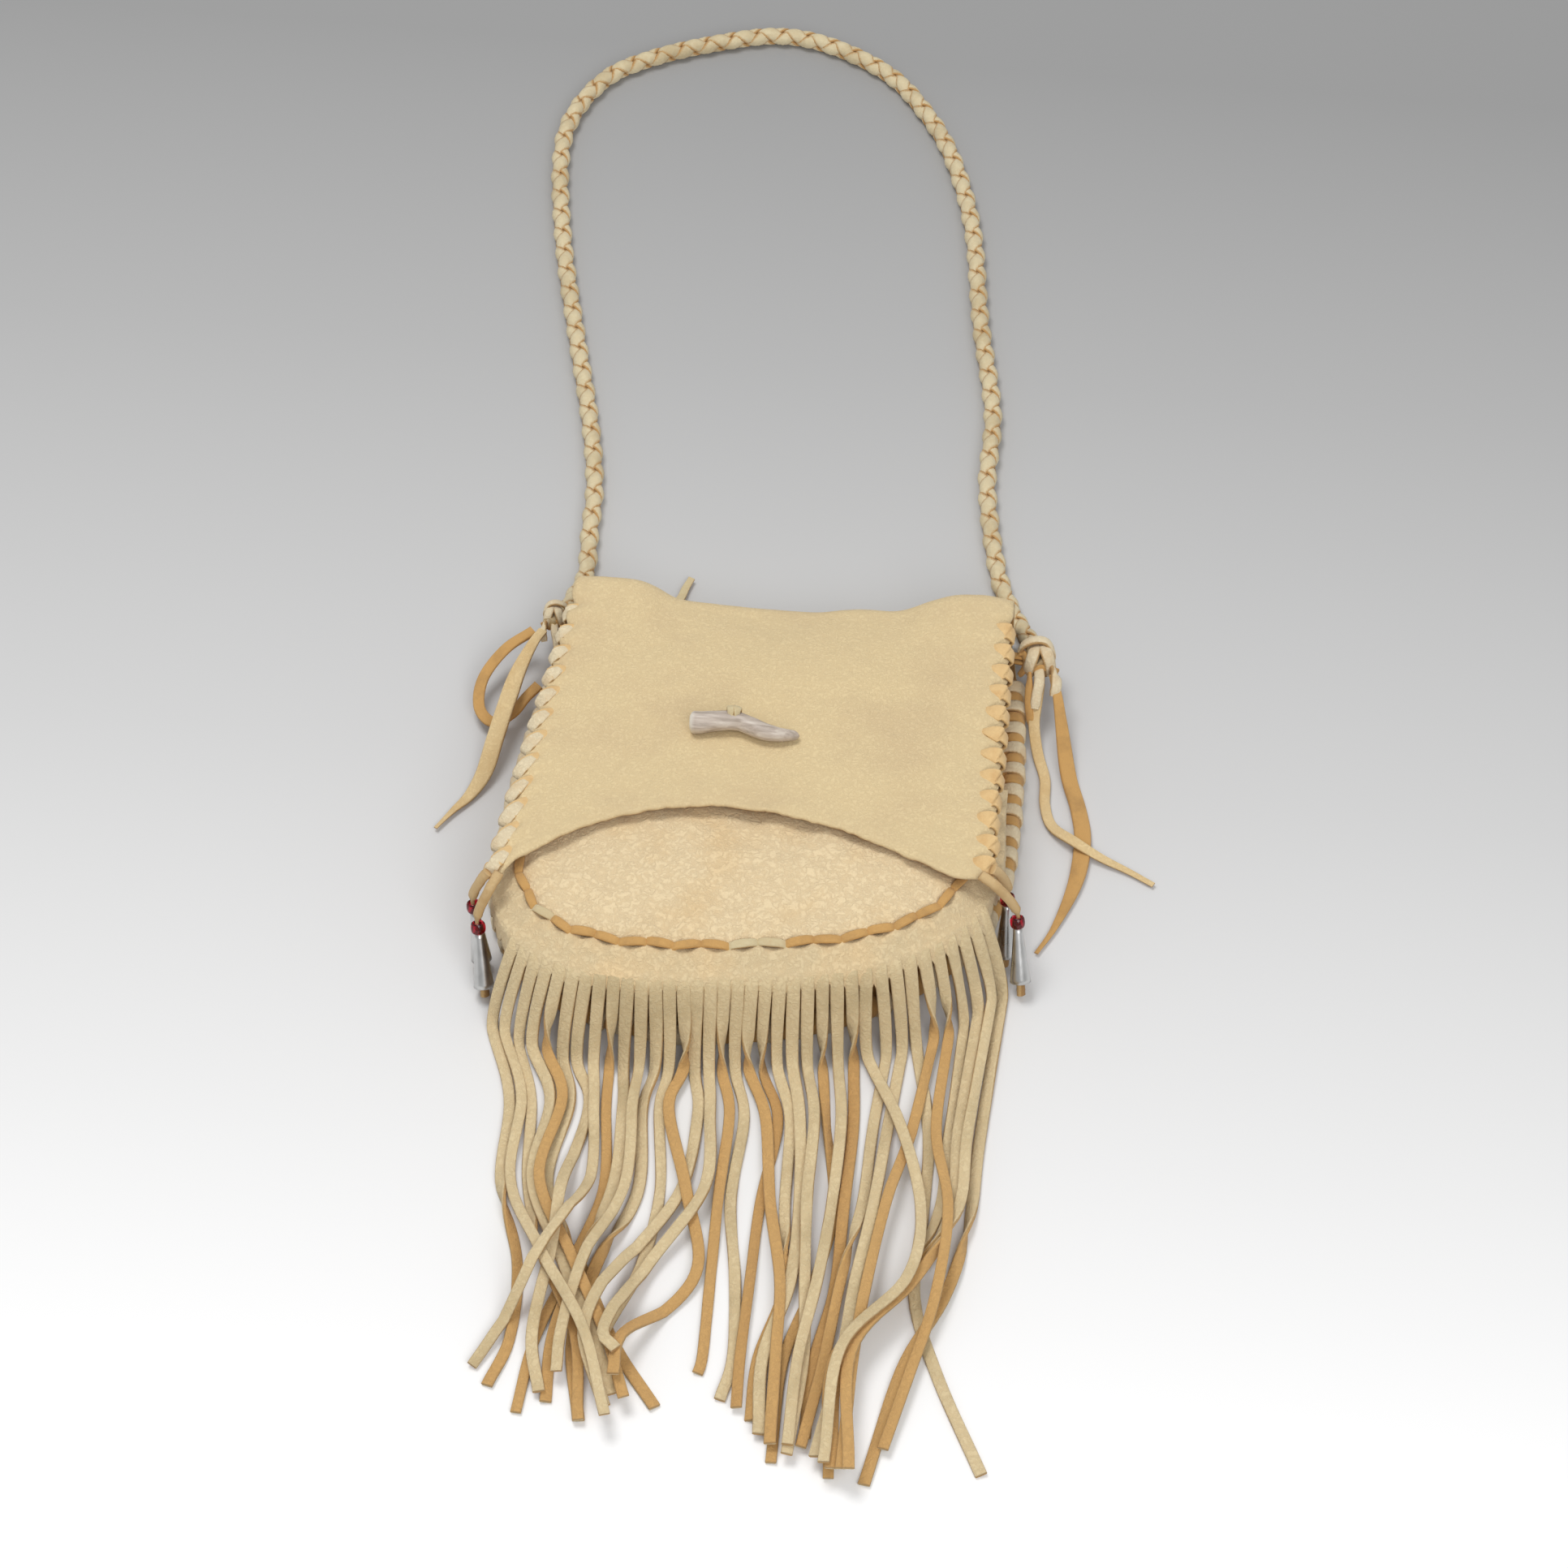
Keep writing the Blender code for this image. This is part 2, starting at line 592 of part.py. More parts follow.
def make_fringe():
    """A strip laced into the front seam, cut into long strands along the pouch's bottom."""
    at_seam, at_cut, slit_columns, strand_columns = fringe_columns()
    strip = ((-FRONT_FLANGE, at_seam), (-SLIT_IN, at_seam), (-SLIT_OUT, at_seam), (GAP, at_cut),
             (BAND_OUT, at_cut))
    columns = len(at_seam)
    strand_rows = STRAND_STEPS + 2
    lower = np.zeros((len(strip) + strand_rows, columns, 3))
    upper = np.zeros_like(lower)
    for i, (outward, stations) in enumerate(strip):
        for j, share in enumerate(stations):
            x, y = FRONT_SEAM.offset(share, outward)
            z = seam_z(y) - GAP - HIDE
            if i == len(strip) - 1:
                z = seam_z(FRONT_SEAM.at(share)[1]) - GAP - HIDE - BAND_DROP
            lower[i, j] = settle((x, y, z))
            upper[i, j] = settle((x, y, z + HIDE))
    cut_row = len(strip) - 1
    starts = []
    normals = []
    for column in strand_columns:
        middle = (lower[cut_row, column] + lower[cut_row, column + 1]) / 2
        starts.append(middle + (0, 0, HIDE / 2))
        run = lower[cut_row, column + 1] - lower[cut_row, column]
        normals.append(np.array((run[1], -run[0])) / np.linalg.norm(run[:2]))
    for column, start, path in zip(strand_columns, starts, strand_paths(starts, normals)):
        line = [start] + path
        for i in range(1, len(line)):
            run = line[min(i + 1, len(line) - 1)] - line[i - 1]
            run /= np.linalg.norm(run)
            side = np.cross(run, (0.0, 0.0, 1.0))
            side /= np.linalg.norm(side)
            up = np.cross(side, run)
            for column_side, j in ((-1, column), (1, column + 1)):
                edge = line[i] - side * column_side * STRAND_WIDTH / 2
                lower[cut_row + i, j] = edge - up * HIDE / 2
                upper[cut_row + i, j] = edge + up * HIDE / 2
    present = np.zeros((lower.shape[0] - 1, columns - 1), bool)
    present[:len(strip) - 2] = True
    present[1, slit_columns] = False
    present[len(strip) - 2, strand_columns[0]:strand_columns[-1] + 1] = True
    for column in strand_columns:
        present[cut_row:, column] = True
    cell_sheet("fringe", lower, upper, present, material("fringe_hide", FRINGE_SKIN))


def make_front_laces():
    """Two laces saddle-stitched through the front seam, each on top where the other dips."""
    for name, first, sign in (("front_lace_a", 0, -1), ("front_lace_b", 1, 1)):
        path = []
        for k in range(SLITS):
            inset = FRONT_INSET + sign * (LACE / 2 + GAP)
            x, y = FRONT_SEAM.offset(slit_share(k), -inset)
            over = seam_z(y) + HIDE + GAP + LACE / 2
            under = seam_z(y) - 2 * (GAP + HIDE) - GAP - LACE / 2
            levels = (over, under) if (k + first) % 2 else (under, over)
            path += [settle((x, y, z)) for z in levels]
        lace(name, path, material(name, LACE_SKIN if first else SUEDE))


def make_back_lace():
    """One lace whipped round the edges of the back panel and the gusset."""
    over = BACK_FLANGE_Z + HIDE + GAP + LACE / 2
    under = GAP + LACE / 2
    beyond = GAP + LACE / 2
    path = []
    for k in range(SLITS):
        inner = BACK_SEAM.offset(slit_share(k), -SEAM_INSET)
        outer = BACK_SEAM.offset(slit_share(k), beyond)
        path += [settle((*inner, under)), settle((*inner, over))]
        path += [settle((*outer, over)), settle((*outer, under))]
    lace("back_seam_lace", path, material("back_lace", LACE_SKIN))


# Flap

FLAP_LIFT = HIDE + GAP + LACE + GAP + LACE + 3 * GAP


def flap_half(y):
    rise = (TOP_Y - y) / (TOP_Y - FLAP_CORNER_Y)
    return FLAP_HALF_TOP + (FLAP_HALF_BOTTOM - FLAP_HALF_TOP) * rise


def flap_arch(x):
    """The flap's free edge: an arch that is highest left of the middle."""
    from_peak = x - FLAP_ARCH_X
    share = abs(from_peak) / (FLAP_HALF_BOTTOM - math.copysign(1, from_peak) * FLAP_ARCH_X)
    return FLAP_ARCH_Y + (FLAP_CORNER_Y - FLAP_ARCH_Y) * min(1.0, share) ** 1.5


def flap_height(x, y):
    """Height of the flap's underside, which lies on the front lace and is crowned."""
    across = 1 - (x / FLAP_HALF_BOTTOM) ** 2
    fade = min(1.0, (TOP_Y - y) / CROWN_REACH)
    return seam_z(y) + FLAP_LIFT + CROWN * across * fade


def flap_point(side, inset, y_nominal, rise=0.0):
    """A point of the flap's underside from its side edge, in from there, and down."""
    x = side * (flap_half(y_nominal) - inset)
    edge = flap_arch(x)
    share = (TOP_Y - FOLD_RADIUS - y_nominal) / (TOP_Y - FOLD_RADIUS - FLAP_CORNER_Y)
    y = TOP_Y - FOLD_RADIUS - share * (TOP_Y - FOLD_RADIUS - edge)
    return settle((x, y, flap_height(x, y) + rise))


def flap_slit_y(k):
    start = TOP_Y - FOLD_RADIUS - 0.004
    return start + (FLAP_CORNER_Y + 0.004 - start) * (k + 0.5) / FLAP_SLITS


def make_flap():
    """The flap: the same hide as the back, carried over the fold and down to an arched edge."""
    insets = (0.0, HOLE_OUT, HOLE_IN, 0.024, 0.060)
    columns = 2 * len(insets) + 1
    nominal = [TOP_Y - FOLD_RADIUS]
    for k in range(FLAP_SLITS):
        nominal += [flap_slit_y(k) + HOLE / 2, flap_slit_y(k) - HOLE / 2]
    nominal.append(FLAP_CORNER_Y)
    lower = np.zeros((len(nominal) + 2, columns, 3))
    for i, y in enumerate(nominal, start=2):
        for j in range(columns):
            inset = insets[min(j, columns - 1 - j)] if j != len(insets) else flap_half(y)
            lower[i, j] = flap_point(-1 if j < len(insets) else 1, inset, y)
    upper = lower + (0, 0, HIDE)
    slope = math.sqrt(0.5)
    for j in range(columns):
        inset = insets[min(j, columns - 1 - j)] if j != len(insets) else FLAP_HALF_TOP
        x = (FLAP_HALF_TOP - inset) * (-1 if j < len(insets) else 1)
        rise = flap_height(x, TOP_Y - FOLD_RADIUS) + HIDE - HINGE_Z
        for i, (out, up) in enumerate(((1.0, 0.0), (slope, slope))):
            y = TOP_Y - FOLD_RADIUS * (1 - out)
            z = HINGE_Z + GAP / 2 + (rise - GAP / 2) * up
            upper[i, j] = settle((x, y, z))
            lower[i, j] = settle((x, y - out * HIDE, z - up * HIDE))
    present = np.ones((lower.shape[0] - 1, columns - 1), bool)
    for k in range(FLAP_SLITS):
        present[3 + 2 * k, [1, columns - 3]] = False
    flap = cell_sheet("flap", lower, upper, present, material("flap_hide", BUCKSKIN))
    return flap


def make_flap_laces():
    """A lace whipped round each side of the flap."""
    clear = GAP + GAP / 2 + LACE / 2
    beyond = GAP + LACE / 2
    lean = 0.30 * (flap_slit_y(0) - flap_slit_y(1))
    for name, side in (("flap_lace_left", -1), ("flap_lace_right", 1)):
        path = []
        for k in range(FLAP_SLITS):
            y = flap_slit_y(k)
            path.append(flap_point(side, SEAM_INSET, y, -clear))
            path.append(flap_point(side, SEAM_INSET, y, HIDE + clear))
            path.append(flap_point(side, -beyond, y - lean, HIDE + clear))
            path.append(flap_point(side, -beyond, y - lean, -clear))
        lace(name, path, material(name, LACE_SKIN))


def toggle_line():
    """The toggle's middle line, resting along the top of the flap."""
    line = []
    for x, y, lift in TOGGLE_ROUTE:
        base = flap_height(x * MM, y * MM) + HIDE + GAP
        line.append(settle((x * MM, y * MM, base + TOGGLE_BLUNT / 2 + lift * MM)))
    return line


def make_toggle(flap):
    """The antler tine, its tie over the middle, and the tie's two holes in the flap."""
    line = toggle_line()
    count = len(line)
    sizes = [TOGGLE_BLUNT + (TOGGLE_TIP - TOGGLE_BLUNT) * (k / (count - 1)) ** 1.6 for k in range(count)]
    scales = [size / TOGGLE_BLUNT for size in sizes]
    tube("antler_toggle", line, round_section(TOGGLE_BLUNT, 12), (0, 0, 1),
         material("antler", ANTLER, 0.5), scales)
    middle = line[TIE_AT]
    reach = sizes[TIE_AT] / 2 + GAP + TIE / 2
    side = reach + 2 * GAP
    over = middle[2] + reach + GAP
    drawn = np.array(TOGGLE_ROUTE[TIE_AT][:2]) * MM
    upper_y, lower_y = drawn[1] + side + TIE_FOOT, drawn[1] - side - TIE_FOOT
    above, below = [flap_height(drawn[0], y) - 3 * GAP - TIE / 2 for y in (upper_y, lower_y)]
    x, y, z = middle
    path = [(x, y + side + TIE_FOOT, above), (x, y + side, above), (x, y + side, z),
            (x, y + side * 0.55, over), (x, y - side * 0.55, over),
            (x, y - side, z), (x, y - side, below), (x, y - side - TIE_FOOT, below)]
    tube("toggle_tie", path, round_section(TIE, 6), (1, 0, 0), material("tie", LACE_SKIN))
    bm = bmesh.new()
    for spot_y in (y + side, y - side):
        ring = bmesh.ops.create_cone(bm, cap_ends=True, segments=8, radius1=TIE / 2 + 2 * GAP,
                                     radius2=TIE / 2 + 2 * GAP, depth=2 * TOGGLE_BLUNT)
        bmesh.ops.translate(bm, verts=ring["verts"], vec=(x, spot_y, below))
    mesh = bpy.data.meshes.new("tie_holes")
    bm.to_mesh(mesh)
    bm.free()
    cutter = add_object("tie_holes", mesh, material("cutter", BUCKSKIN))
    cutter.hide_render = True
    cutter.display_type = "WIRE"
    holes = flap.modifiers.new("tie_holes", "BOOLEAN")
    holes.object = cutter
    holes.operation = "DIFFERENCE"
    holes.solver = "EXACT"


# Strap and loose thongs

def knot_axis(centre, strap_end):
    heading = np.array(centre) - np.array(strap_end)
    return heading / np.linalg.norm(heading)


def make_strap():
    """The braided strap, a wrapped knot at each end, and the short root of each knot."""
    route = [np.array(p) * MM for p in STRAP_ROUTE]
    mat = material("braid", STRAP_SKIN)
    for side, centre, end in (("left", KNOT_LEFT, 0), ("right", KNOT_RIGHT, -1)):
        axis = knot_axis(centre, route[end])
        top = np.array(centre) - axis * KNOT_LENGTH / 2
        route[end] = top - axis * 1.5 * GAP
        route.insert(1 if end == 0 else len(route) - 1, top - axis * STRAP)
        waist = KNOT / 2
        profile = [(0.0, 0.0), (0.72 * waist, 0.0), (waist, 0.22 * KNOT_LENGTH),
                   (waist, 0.78 * KNOT_LENGTH), (0.72 * waist, KNOT_LENGTH), (0.0, KNOT_LENGTH)]
        knot_solid("strap_knot_" + side, profile, top, axis, material("knot", STRAP_SKIN))
    points = smooth_route(route, STRAP_POINTS)
    points[:, 2] = np.maximum(points[:, 2], STRAP / 2)
    curve = bpy.data.curves.new("strap", "CURVE")
    curve.dimensions = "3D"
    curve.bevel_depth = STRAP / 2
    curve.bevel_resolution = 2
    curve.use_fill_caps = True
    spline = curve.splines.new("POLY")
    spline.points.add(len(points) - 1)
    for point, spot in zip(spline.points, points):
        point.co = (*spot, 1.0)
    add_object("strap", curve, mat)


def knot_solid(name, profile, start, axis, mat, sides=12):
    """A solid of revolution whose profile starts and ends on its axis."""
    side = np.cross(axis, (0.0, 0.0, 1.0))
    side /= np.linalg.norm(side)
    over = np.cross(side, axis)
    rings = profile[1:-1]
    points = [np.array(start) + axis * profile[0][1]]
    for r, d in rings:
        for k in range(sides):
            angle = 2 * math.pi * k / sides
            points.append(np.array(start) + axis * d + (side * math.cos(angle) + over * math.sin(angle)) * r)
    points.append(np.array(start) + axis * profile[-1][1])
    last = len(points) - 1
    faces = []
    for k in range(sides):
        after = (k + 1) % sides
        faces.append([0, 1 + after, 1 + k])
        for ring in range(len(rings) - 1):
            a = 1 + ring * sides
            faces.append([a + k, a + after, a + sides + after, a + sides + k])
        tail = 1 + (len(rings) - 1) * sides
        faces.append([last, tail + k, tail + after])
    return mesh_object(name, points, faces, mat, smooth_angle=50)


def make_strap_roots():
    """Each knot's own strands, drawn into the mouth over the end of the gusset."""
    for side, centre, end, sign in (("left", KNOT_LEFT, 0, -1), ("right", KNOT_RIGHT, -1, 1)):
        mouth = settle((sign * (FRONT_HALF_TOP - FRONT_FLANGE), MOUTH_Y, centre[2]))
        finish = mouth + (0.0, ROOT / 2 + 4 * GAP, 0.0)
        axis = knot_axis(centre, np.array(STRAP_ROUTE[end]) * MM)
        across = finish - np.array(centre)
        across -= axis * (across @ axis)
        start = np.array(centre) + across * (KNOT / 2 + 3 * GAP) / np.linalg.norm(across)
        tube("strap_root_" + side, [start, finish], round_section(ROOT, 8), (0, 0, 1),
             material("root", SUEDE))


def make_thongs():
    """The strands that hang loose from the knots, and one behind the pouch."""
    suede = material("suede_thong", SUEDE)
    grain = material("grain_thong", LACE_SKIN)
    for name, route, count, mat in (
            ("left_loop", LEFT_LOOP, 12, suede), ("left_tail", LEFT_TAIL, 12, grain),
            ("right_tail_a", RIGHT_TAIL_A, 12, suede), ("right_tail_b", RIGHT_TAIL_B, 16, grain),
            ("back_tail", BACK_TAIL, 5, grain)):
        points = smooth_route(np.array(route) * MM, count)
        tube(name, points, flat(TAIL_WIDTH, TAIL_THICK), (0, 0, 1), mat)


def make_jingles():
    """Beads and tin cones on thongs that hang from the flap's two lower corners."""
    for name, (start, turn, bead, direction, thong_below) in JINGLES.items():
        start, turn, bead = (np.array(p) * MM for p in (start, turn, bead))
        axis = np.array(direction, float)
        axis /= np.linalg.norm(axis)
        bead_top = bead - axis * BEAD_HEIGHT / 2
        cone_top = bead + axis * (BEAD_HEIGHT / 2 + GAP)
        half, bore = BEAD / 2, BORE / 2
        turned("bead_" + name, [(bore, 0.0), (0.8 * half, 0.0), (half, 0.3 * BEAD_HEIGHT),
                                (half, 0.7 * BEAD_HEIGHT), (0.8 * half, BEAD_HEIGHT), (bore, BEAD_HEIGHT)],
               bead_top, axis, 10, material("red_glass", RED_GLASS, 0.1))
        turned("cone_" + name, [(CONE_TOP / 2 - TIN, 0.0), (CONE_TOP / 2, 0.0),
                                (CONE_BOTTOM / 2, CONE_LENGTH), (CONE_BOTTOM / 2 - TIN, CONE_LENGTH)],
               cone_top, axis, 10, material("tin", TINPLATE, 0.35, 0.9))
        tip = cone_top + axis * (thong_below + TIP_LENGTH)
        path = [start, turn, bead_top - axis * 0.002, tip]
        tube("thong_" + name, path, flat(THONG, THONG), (0, 1, 0), material("jingle_thong", SUEDE))


def hang_from_hinge():
    """The flap and all it carries turn about the line where it leaves the top of the back."""
    hinge = bpy.data.objects.new("flap_hinge", None)
    hinge.location = settle((0.0, TOP_Y + GAP, HINGE_Z))
    bpy.context.scene.collection.objects.link(hinge)
    moving = ["flap", "flap_lace_left", "flap_lace_right", "antler_toggle", "toggle_tie", "tie_holes"]
    moving += [kind + name for name in JINGLES for kind in ("thong_", "bead_", "cone_")]
    for name in moving:
        obj = bpy.data.objects[name]
        obj.parent = hinge
        obj.matrix_parent_inverse = Matrix.Translation(-hinge.location)


def make_pouch():
    clear_scene()
    make_back_panel()
    make_front_panel()
    make_gusset()
    make_fringe()
    make_front_laces()
    make_back_lace()
    flap = make_flap()
    make_flap_laces()
    make_toggle(flap)
    make_strap()
    make_strap_roots()
    make_thongs()
    make_jingles()
    hang_from_hinge()


make_pouch()
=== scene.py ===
# %% [markdown]
# # A fringed hide pouch
# The pouch lies on its back on a table. It is laced together from soft buckskin, with a long
# fringe, a flap that is tied down by an antler tine, and a braided strap. Each cell below makes
# one of its pieces, as its maker would: the hides first, then the lacing, then the trim.

import json
import math

import bmesh
import bpy
import numpy as np
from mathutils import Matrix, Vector, noise

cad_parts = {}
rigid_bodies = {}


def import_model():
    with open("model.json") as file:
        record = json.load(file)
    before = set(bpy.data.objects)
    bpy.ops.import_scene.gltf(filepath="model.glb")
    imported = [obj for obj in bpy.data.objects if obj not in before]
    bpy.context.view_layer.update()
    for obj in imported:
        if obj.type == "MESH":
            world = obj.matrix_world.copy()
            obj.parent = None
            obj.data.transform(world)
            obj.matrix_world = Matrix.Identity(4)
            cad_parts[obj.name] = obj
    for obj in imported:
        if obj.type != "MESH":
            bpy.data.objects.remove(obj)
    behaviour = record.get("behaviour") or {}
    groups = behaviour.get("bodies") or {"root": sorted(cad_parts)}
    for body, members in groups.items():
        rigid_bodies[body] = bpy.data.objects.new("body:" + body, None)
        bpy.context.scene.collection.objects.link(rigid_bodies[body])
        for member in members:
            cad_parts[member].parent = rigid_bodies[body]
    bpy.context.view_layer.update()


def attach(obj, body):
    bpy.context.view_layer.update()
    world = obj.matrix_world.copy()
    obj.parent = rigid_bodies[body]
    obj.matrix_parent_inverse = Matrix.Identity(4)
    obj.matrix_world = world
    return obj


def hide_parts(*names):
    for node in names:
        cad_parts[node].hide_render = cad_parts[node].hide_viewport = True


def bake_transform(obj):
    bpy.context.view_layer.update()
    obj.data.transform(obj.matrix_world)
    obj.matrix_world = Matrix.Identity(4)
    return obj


for leftover in list(bpy.data.objects):
    bpy.data.objects.remove(leftover, do_unlink=True)
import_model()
MM = 0.001

# %% [markdown]
# ## The camera
# A long lens keeps the pouch's sides nearly parallel, as the picture shows them. The camera looks
# down by 52 degrees, a little from the right. Its lens and distance follow from two lengths: how
# many picture points a millimetre takes at the aim, and how strongly far things shrink.

# %% Camera
PICTURE = 1932
FOCAL_POINTS = 6000.0
POINTS_PER_METRE = 2850.0
ELEVATION = math.radians(52)
AZIMUTH = math.radians(6)
AIM = Vector((0.007, 0.027, 0.0))
DISTANCE = FOCAL_POINTS / POINTS_PER_METRE
SENSOR = 36.0

away = Vector((math.sin(AZIMUTH) * math.cos(ELEVATION), -math.cos(AZIMUTH) * math.cos(ELEVATION),
               math.sin(ELEVATION)))
lens = bpy.data.cameras.new("picture_lens")
lens.sensor_width = SENSOR
lens.lens = FOCAL_POINTS * SENSOR / PICTURE
camera = bpy.data.objects.new("picture_camera", lens)
camera.location = AIM + away * DISTANCE
camera.rotation_euler = (-away).to_track_quat("-Z", "Y").to_euler()
bpy.context.scene.collection.objects.link(camera)
bpy.context.scene.camera = camera
print("lens", round(lens.lens, 1), "mm at", round(DISTANCE, 3), "m")

# %% [markdown]
# ## Small tools
# A finish on real hide is never one colour: it is mottled from the smoking and the hands that
# worked it. Both effects below are shader groups, so that every hide, lace and thong can use them
# at its own scale. The first gives a slow mottle and a fine wrinkled height, the second the short
# nap of the flesh side.

# %% Shader groups
def group_with(name, inputs, outputs):
    tree = bpy.data.node_groups.new(name, "ShaderNodeTree")
    for label, value in inputs:
        socket = tree.interface.new_socket(label, in_out="INPUT", socket_type="NodeSocketFloat")
        socket.default_value = value
    for label in outputs:
        tree.interface.new_socket(label, in_out="OUTPUT", socket_type="NodeSocketFloat")
    return tree, tree.nodes.new("NodeGroupInput"), tree.nodes.new("NodeGroupOutput")


def noise_node(tree, coordinates, size=None, size_from=None, detail=3.0, roughness=0.5, distortion=0.0):
    node = tree.nodes.new("ShaderNodeTexNoise")
    node.inputs["Detail"].default_value = detail
    node.inputs["Roughness"].default_value = roughness
    node.inputs["Distortion"].default_value = distortion
    tree.links.new(coordinates, node.inputs["Vector"])
    if size_from is not None:
        tree.links.new(size_from, node.inputs["Scale"])
    else:
        node.inputs["Scale"].default_value = size
    return node


def math_node(tree, operation, first, second=None, third=None):
    node = tree.nodes.new("ShaderNodeMath")
    node.operation = operation
    for slot_number, value in enumerate((first, second, third)):
        if value is None:
            continue
        if isinstance(value, (int, float)):
            node.inputs[slot_number].default_value = value
        else:
            tree.links.new(value, node.inputs[slot_number])
    return node.outputs[0]


def ramp_node(tree, factor, stops):
    node = tree.nodes.new("ShaderNodeValToRGB")
    while len(node.color_ramp.elements) < len(stops):
        node.color_ramp.elements.new(0.5)
    for element, (place, colour) in zip(node.color_ramp.elements, stops):
        element.position = place
        element.color = (*colour, 1.0) if len(colour) == 3 else colour
    tree.links.new(factor, node.inputs["Fac"])
    return node.outputs["Color"]


def mix_node(tree, factor, first, second):
    node = tree.nodes.new("ShaderNodeMix")
    node.data_type = "RGBA"
    for socket, value in ((node.inputs[0], factor), (node.inputs[6], first), (node.inputs[7], second)):
        if isinstance(value, bpy.types.NodeSocket):
            tree.links.new(value, socket)
        else:
            socket.default_value = value if isinstance(value, float) else (*value, 1.0)
    return node.outputs[2]


def make_hide_grain():
    """Slow mottle, and the height of pores and fine creases."""
    tree, given, out = group_with(
        "hide_grain", (("Mottle Size", 22.0), ("Crease Size", 260.0), ("Pore Size", 1400.0)),
        ("Mottle", "Height", "Creases"))
    spot = tree.nodes.new("ShaderNodeTexCoord").outputs["Object"]
    mottle = noise_node(tree, spot, size_from=given.outputs["Mottle Size"], detail=4.0, roughness=0.6)
    creases = noise_node(tree, spot, size_from=given.outputs["Crease Size"], detail=5.0, roughness=0.62,
                         distortion=0.25)
    pores = noise_node(tree, spot, size_from=given.outputs["Pore Size"], detail=2.0)
    valley = math_node(tree, "ABSOLUTE", math_node(tree, "SUBTRACT", creases.outputs["Fac"], 0.5))
    valley = math_node(tree, "MULTIPLY", valley, 2.4)
    groove = math_node(tree, "MULTIPLY_ADD", valley, -5.0, 1.0)
    groove.node.use_clamp = True
    height = math_node(tree, "MULTIPLY_ADD", pores.outputs["Fac"], 0.40, valley)
    height = math_node(tree, "MULTIPLY_ADD", groove, -0.45, height)
    tree.links.new(mottle.outputs["Fac"], out.inputs["Mottle"])
    tree.links.new(height, out.inputs["Height"])
    tree.links.new(groove, out.inputs["Creases"])
    return tree


def make_suede_nap():
    """Short fuzzy fibres of the flesh side: a fine tone and its height."""
    tree, given, out = group_with("suede_nap", (("Fibre Size", 1500.0), ("Patch Size", 60.0)),
                                  ("Tone", "Height"))
    spot = tree.nodes.new("ShaderNodeTexCoord").outputs["Object"]
    fibre = noise_node(tree, spot, size_from=given.outputs["Fibre Size"], detail=4.0, roughness=0.7,
                       distortion=1.2)
    patch = noise_node(tree, spot, size_from=given.outputs["Patch Size"], detail=3.0)
    tone = math_node(tree, "MULTIPLY_ADD", fibre.outputs["Fac"], 0.55,
                     math_node(tree, "MULTIPLY", patch.outputs["Fac"], 0.45))
    tree.links.new(tone, out.inputs["Tone"])
    tree.links.new(fibre.outputs["Fac"], out.inputs["Height"])
    return tree


HIDE_GRAIN = make_hide_grain()
SUEDE_NAP = make_suede_nap()
print("shader groups", HIDE_GRAIN.name, SUEDE_NAP.name)

# %% [markdown]
# ## Finishes
# Buckskin has two faces. The grain side is pale cream with faint grey and ochre clouds, and the
# flesh side is an orange-tan suede. One function makes every leather: a piece carries the
# attribute "flesh", 0 on its grain and 1 on its suede, and the finish blends the two there, with
# a paler raw edge in between. A "tone" attribute lets one strand be darker than its neighbour.

# %% Leather finishes
def principled(name, roughness, sheen=0.0, specular=0.3):
    mat = bpy.data.materials.new(name)
    mat.use_nodes = True
    shader = mat.node_tree.nodes["Principled BSDF"]
    shader.inputs["Roughness"].default_value = roughness
    shader.inputs["Sheen Weight"].default_value = sheen
    shader.inputs["Specular IOR Level"].default_value = specular
    return mat, mat.node_tree, shader


def attribute_node(tree, name):
    node = tree.nodes.new("ShaderNodeAttribute")
    node.attribute_name = name
    return node.outputs["Fac"]


def placed_group(tree, group, **values):
    node = tree.nodes.new("ShaderNodeGroup")
    node.node_tree = group
    for label, value in values.items():
        node.inputs[label.replace("_", " ")].default_value = value
    return node


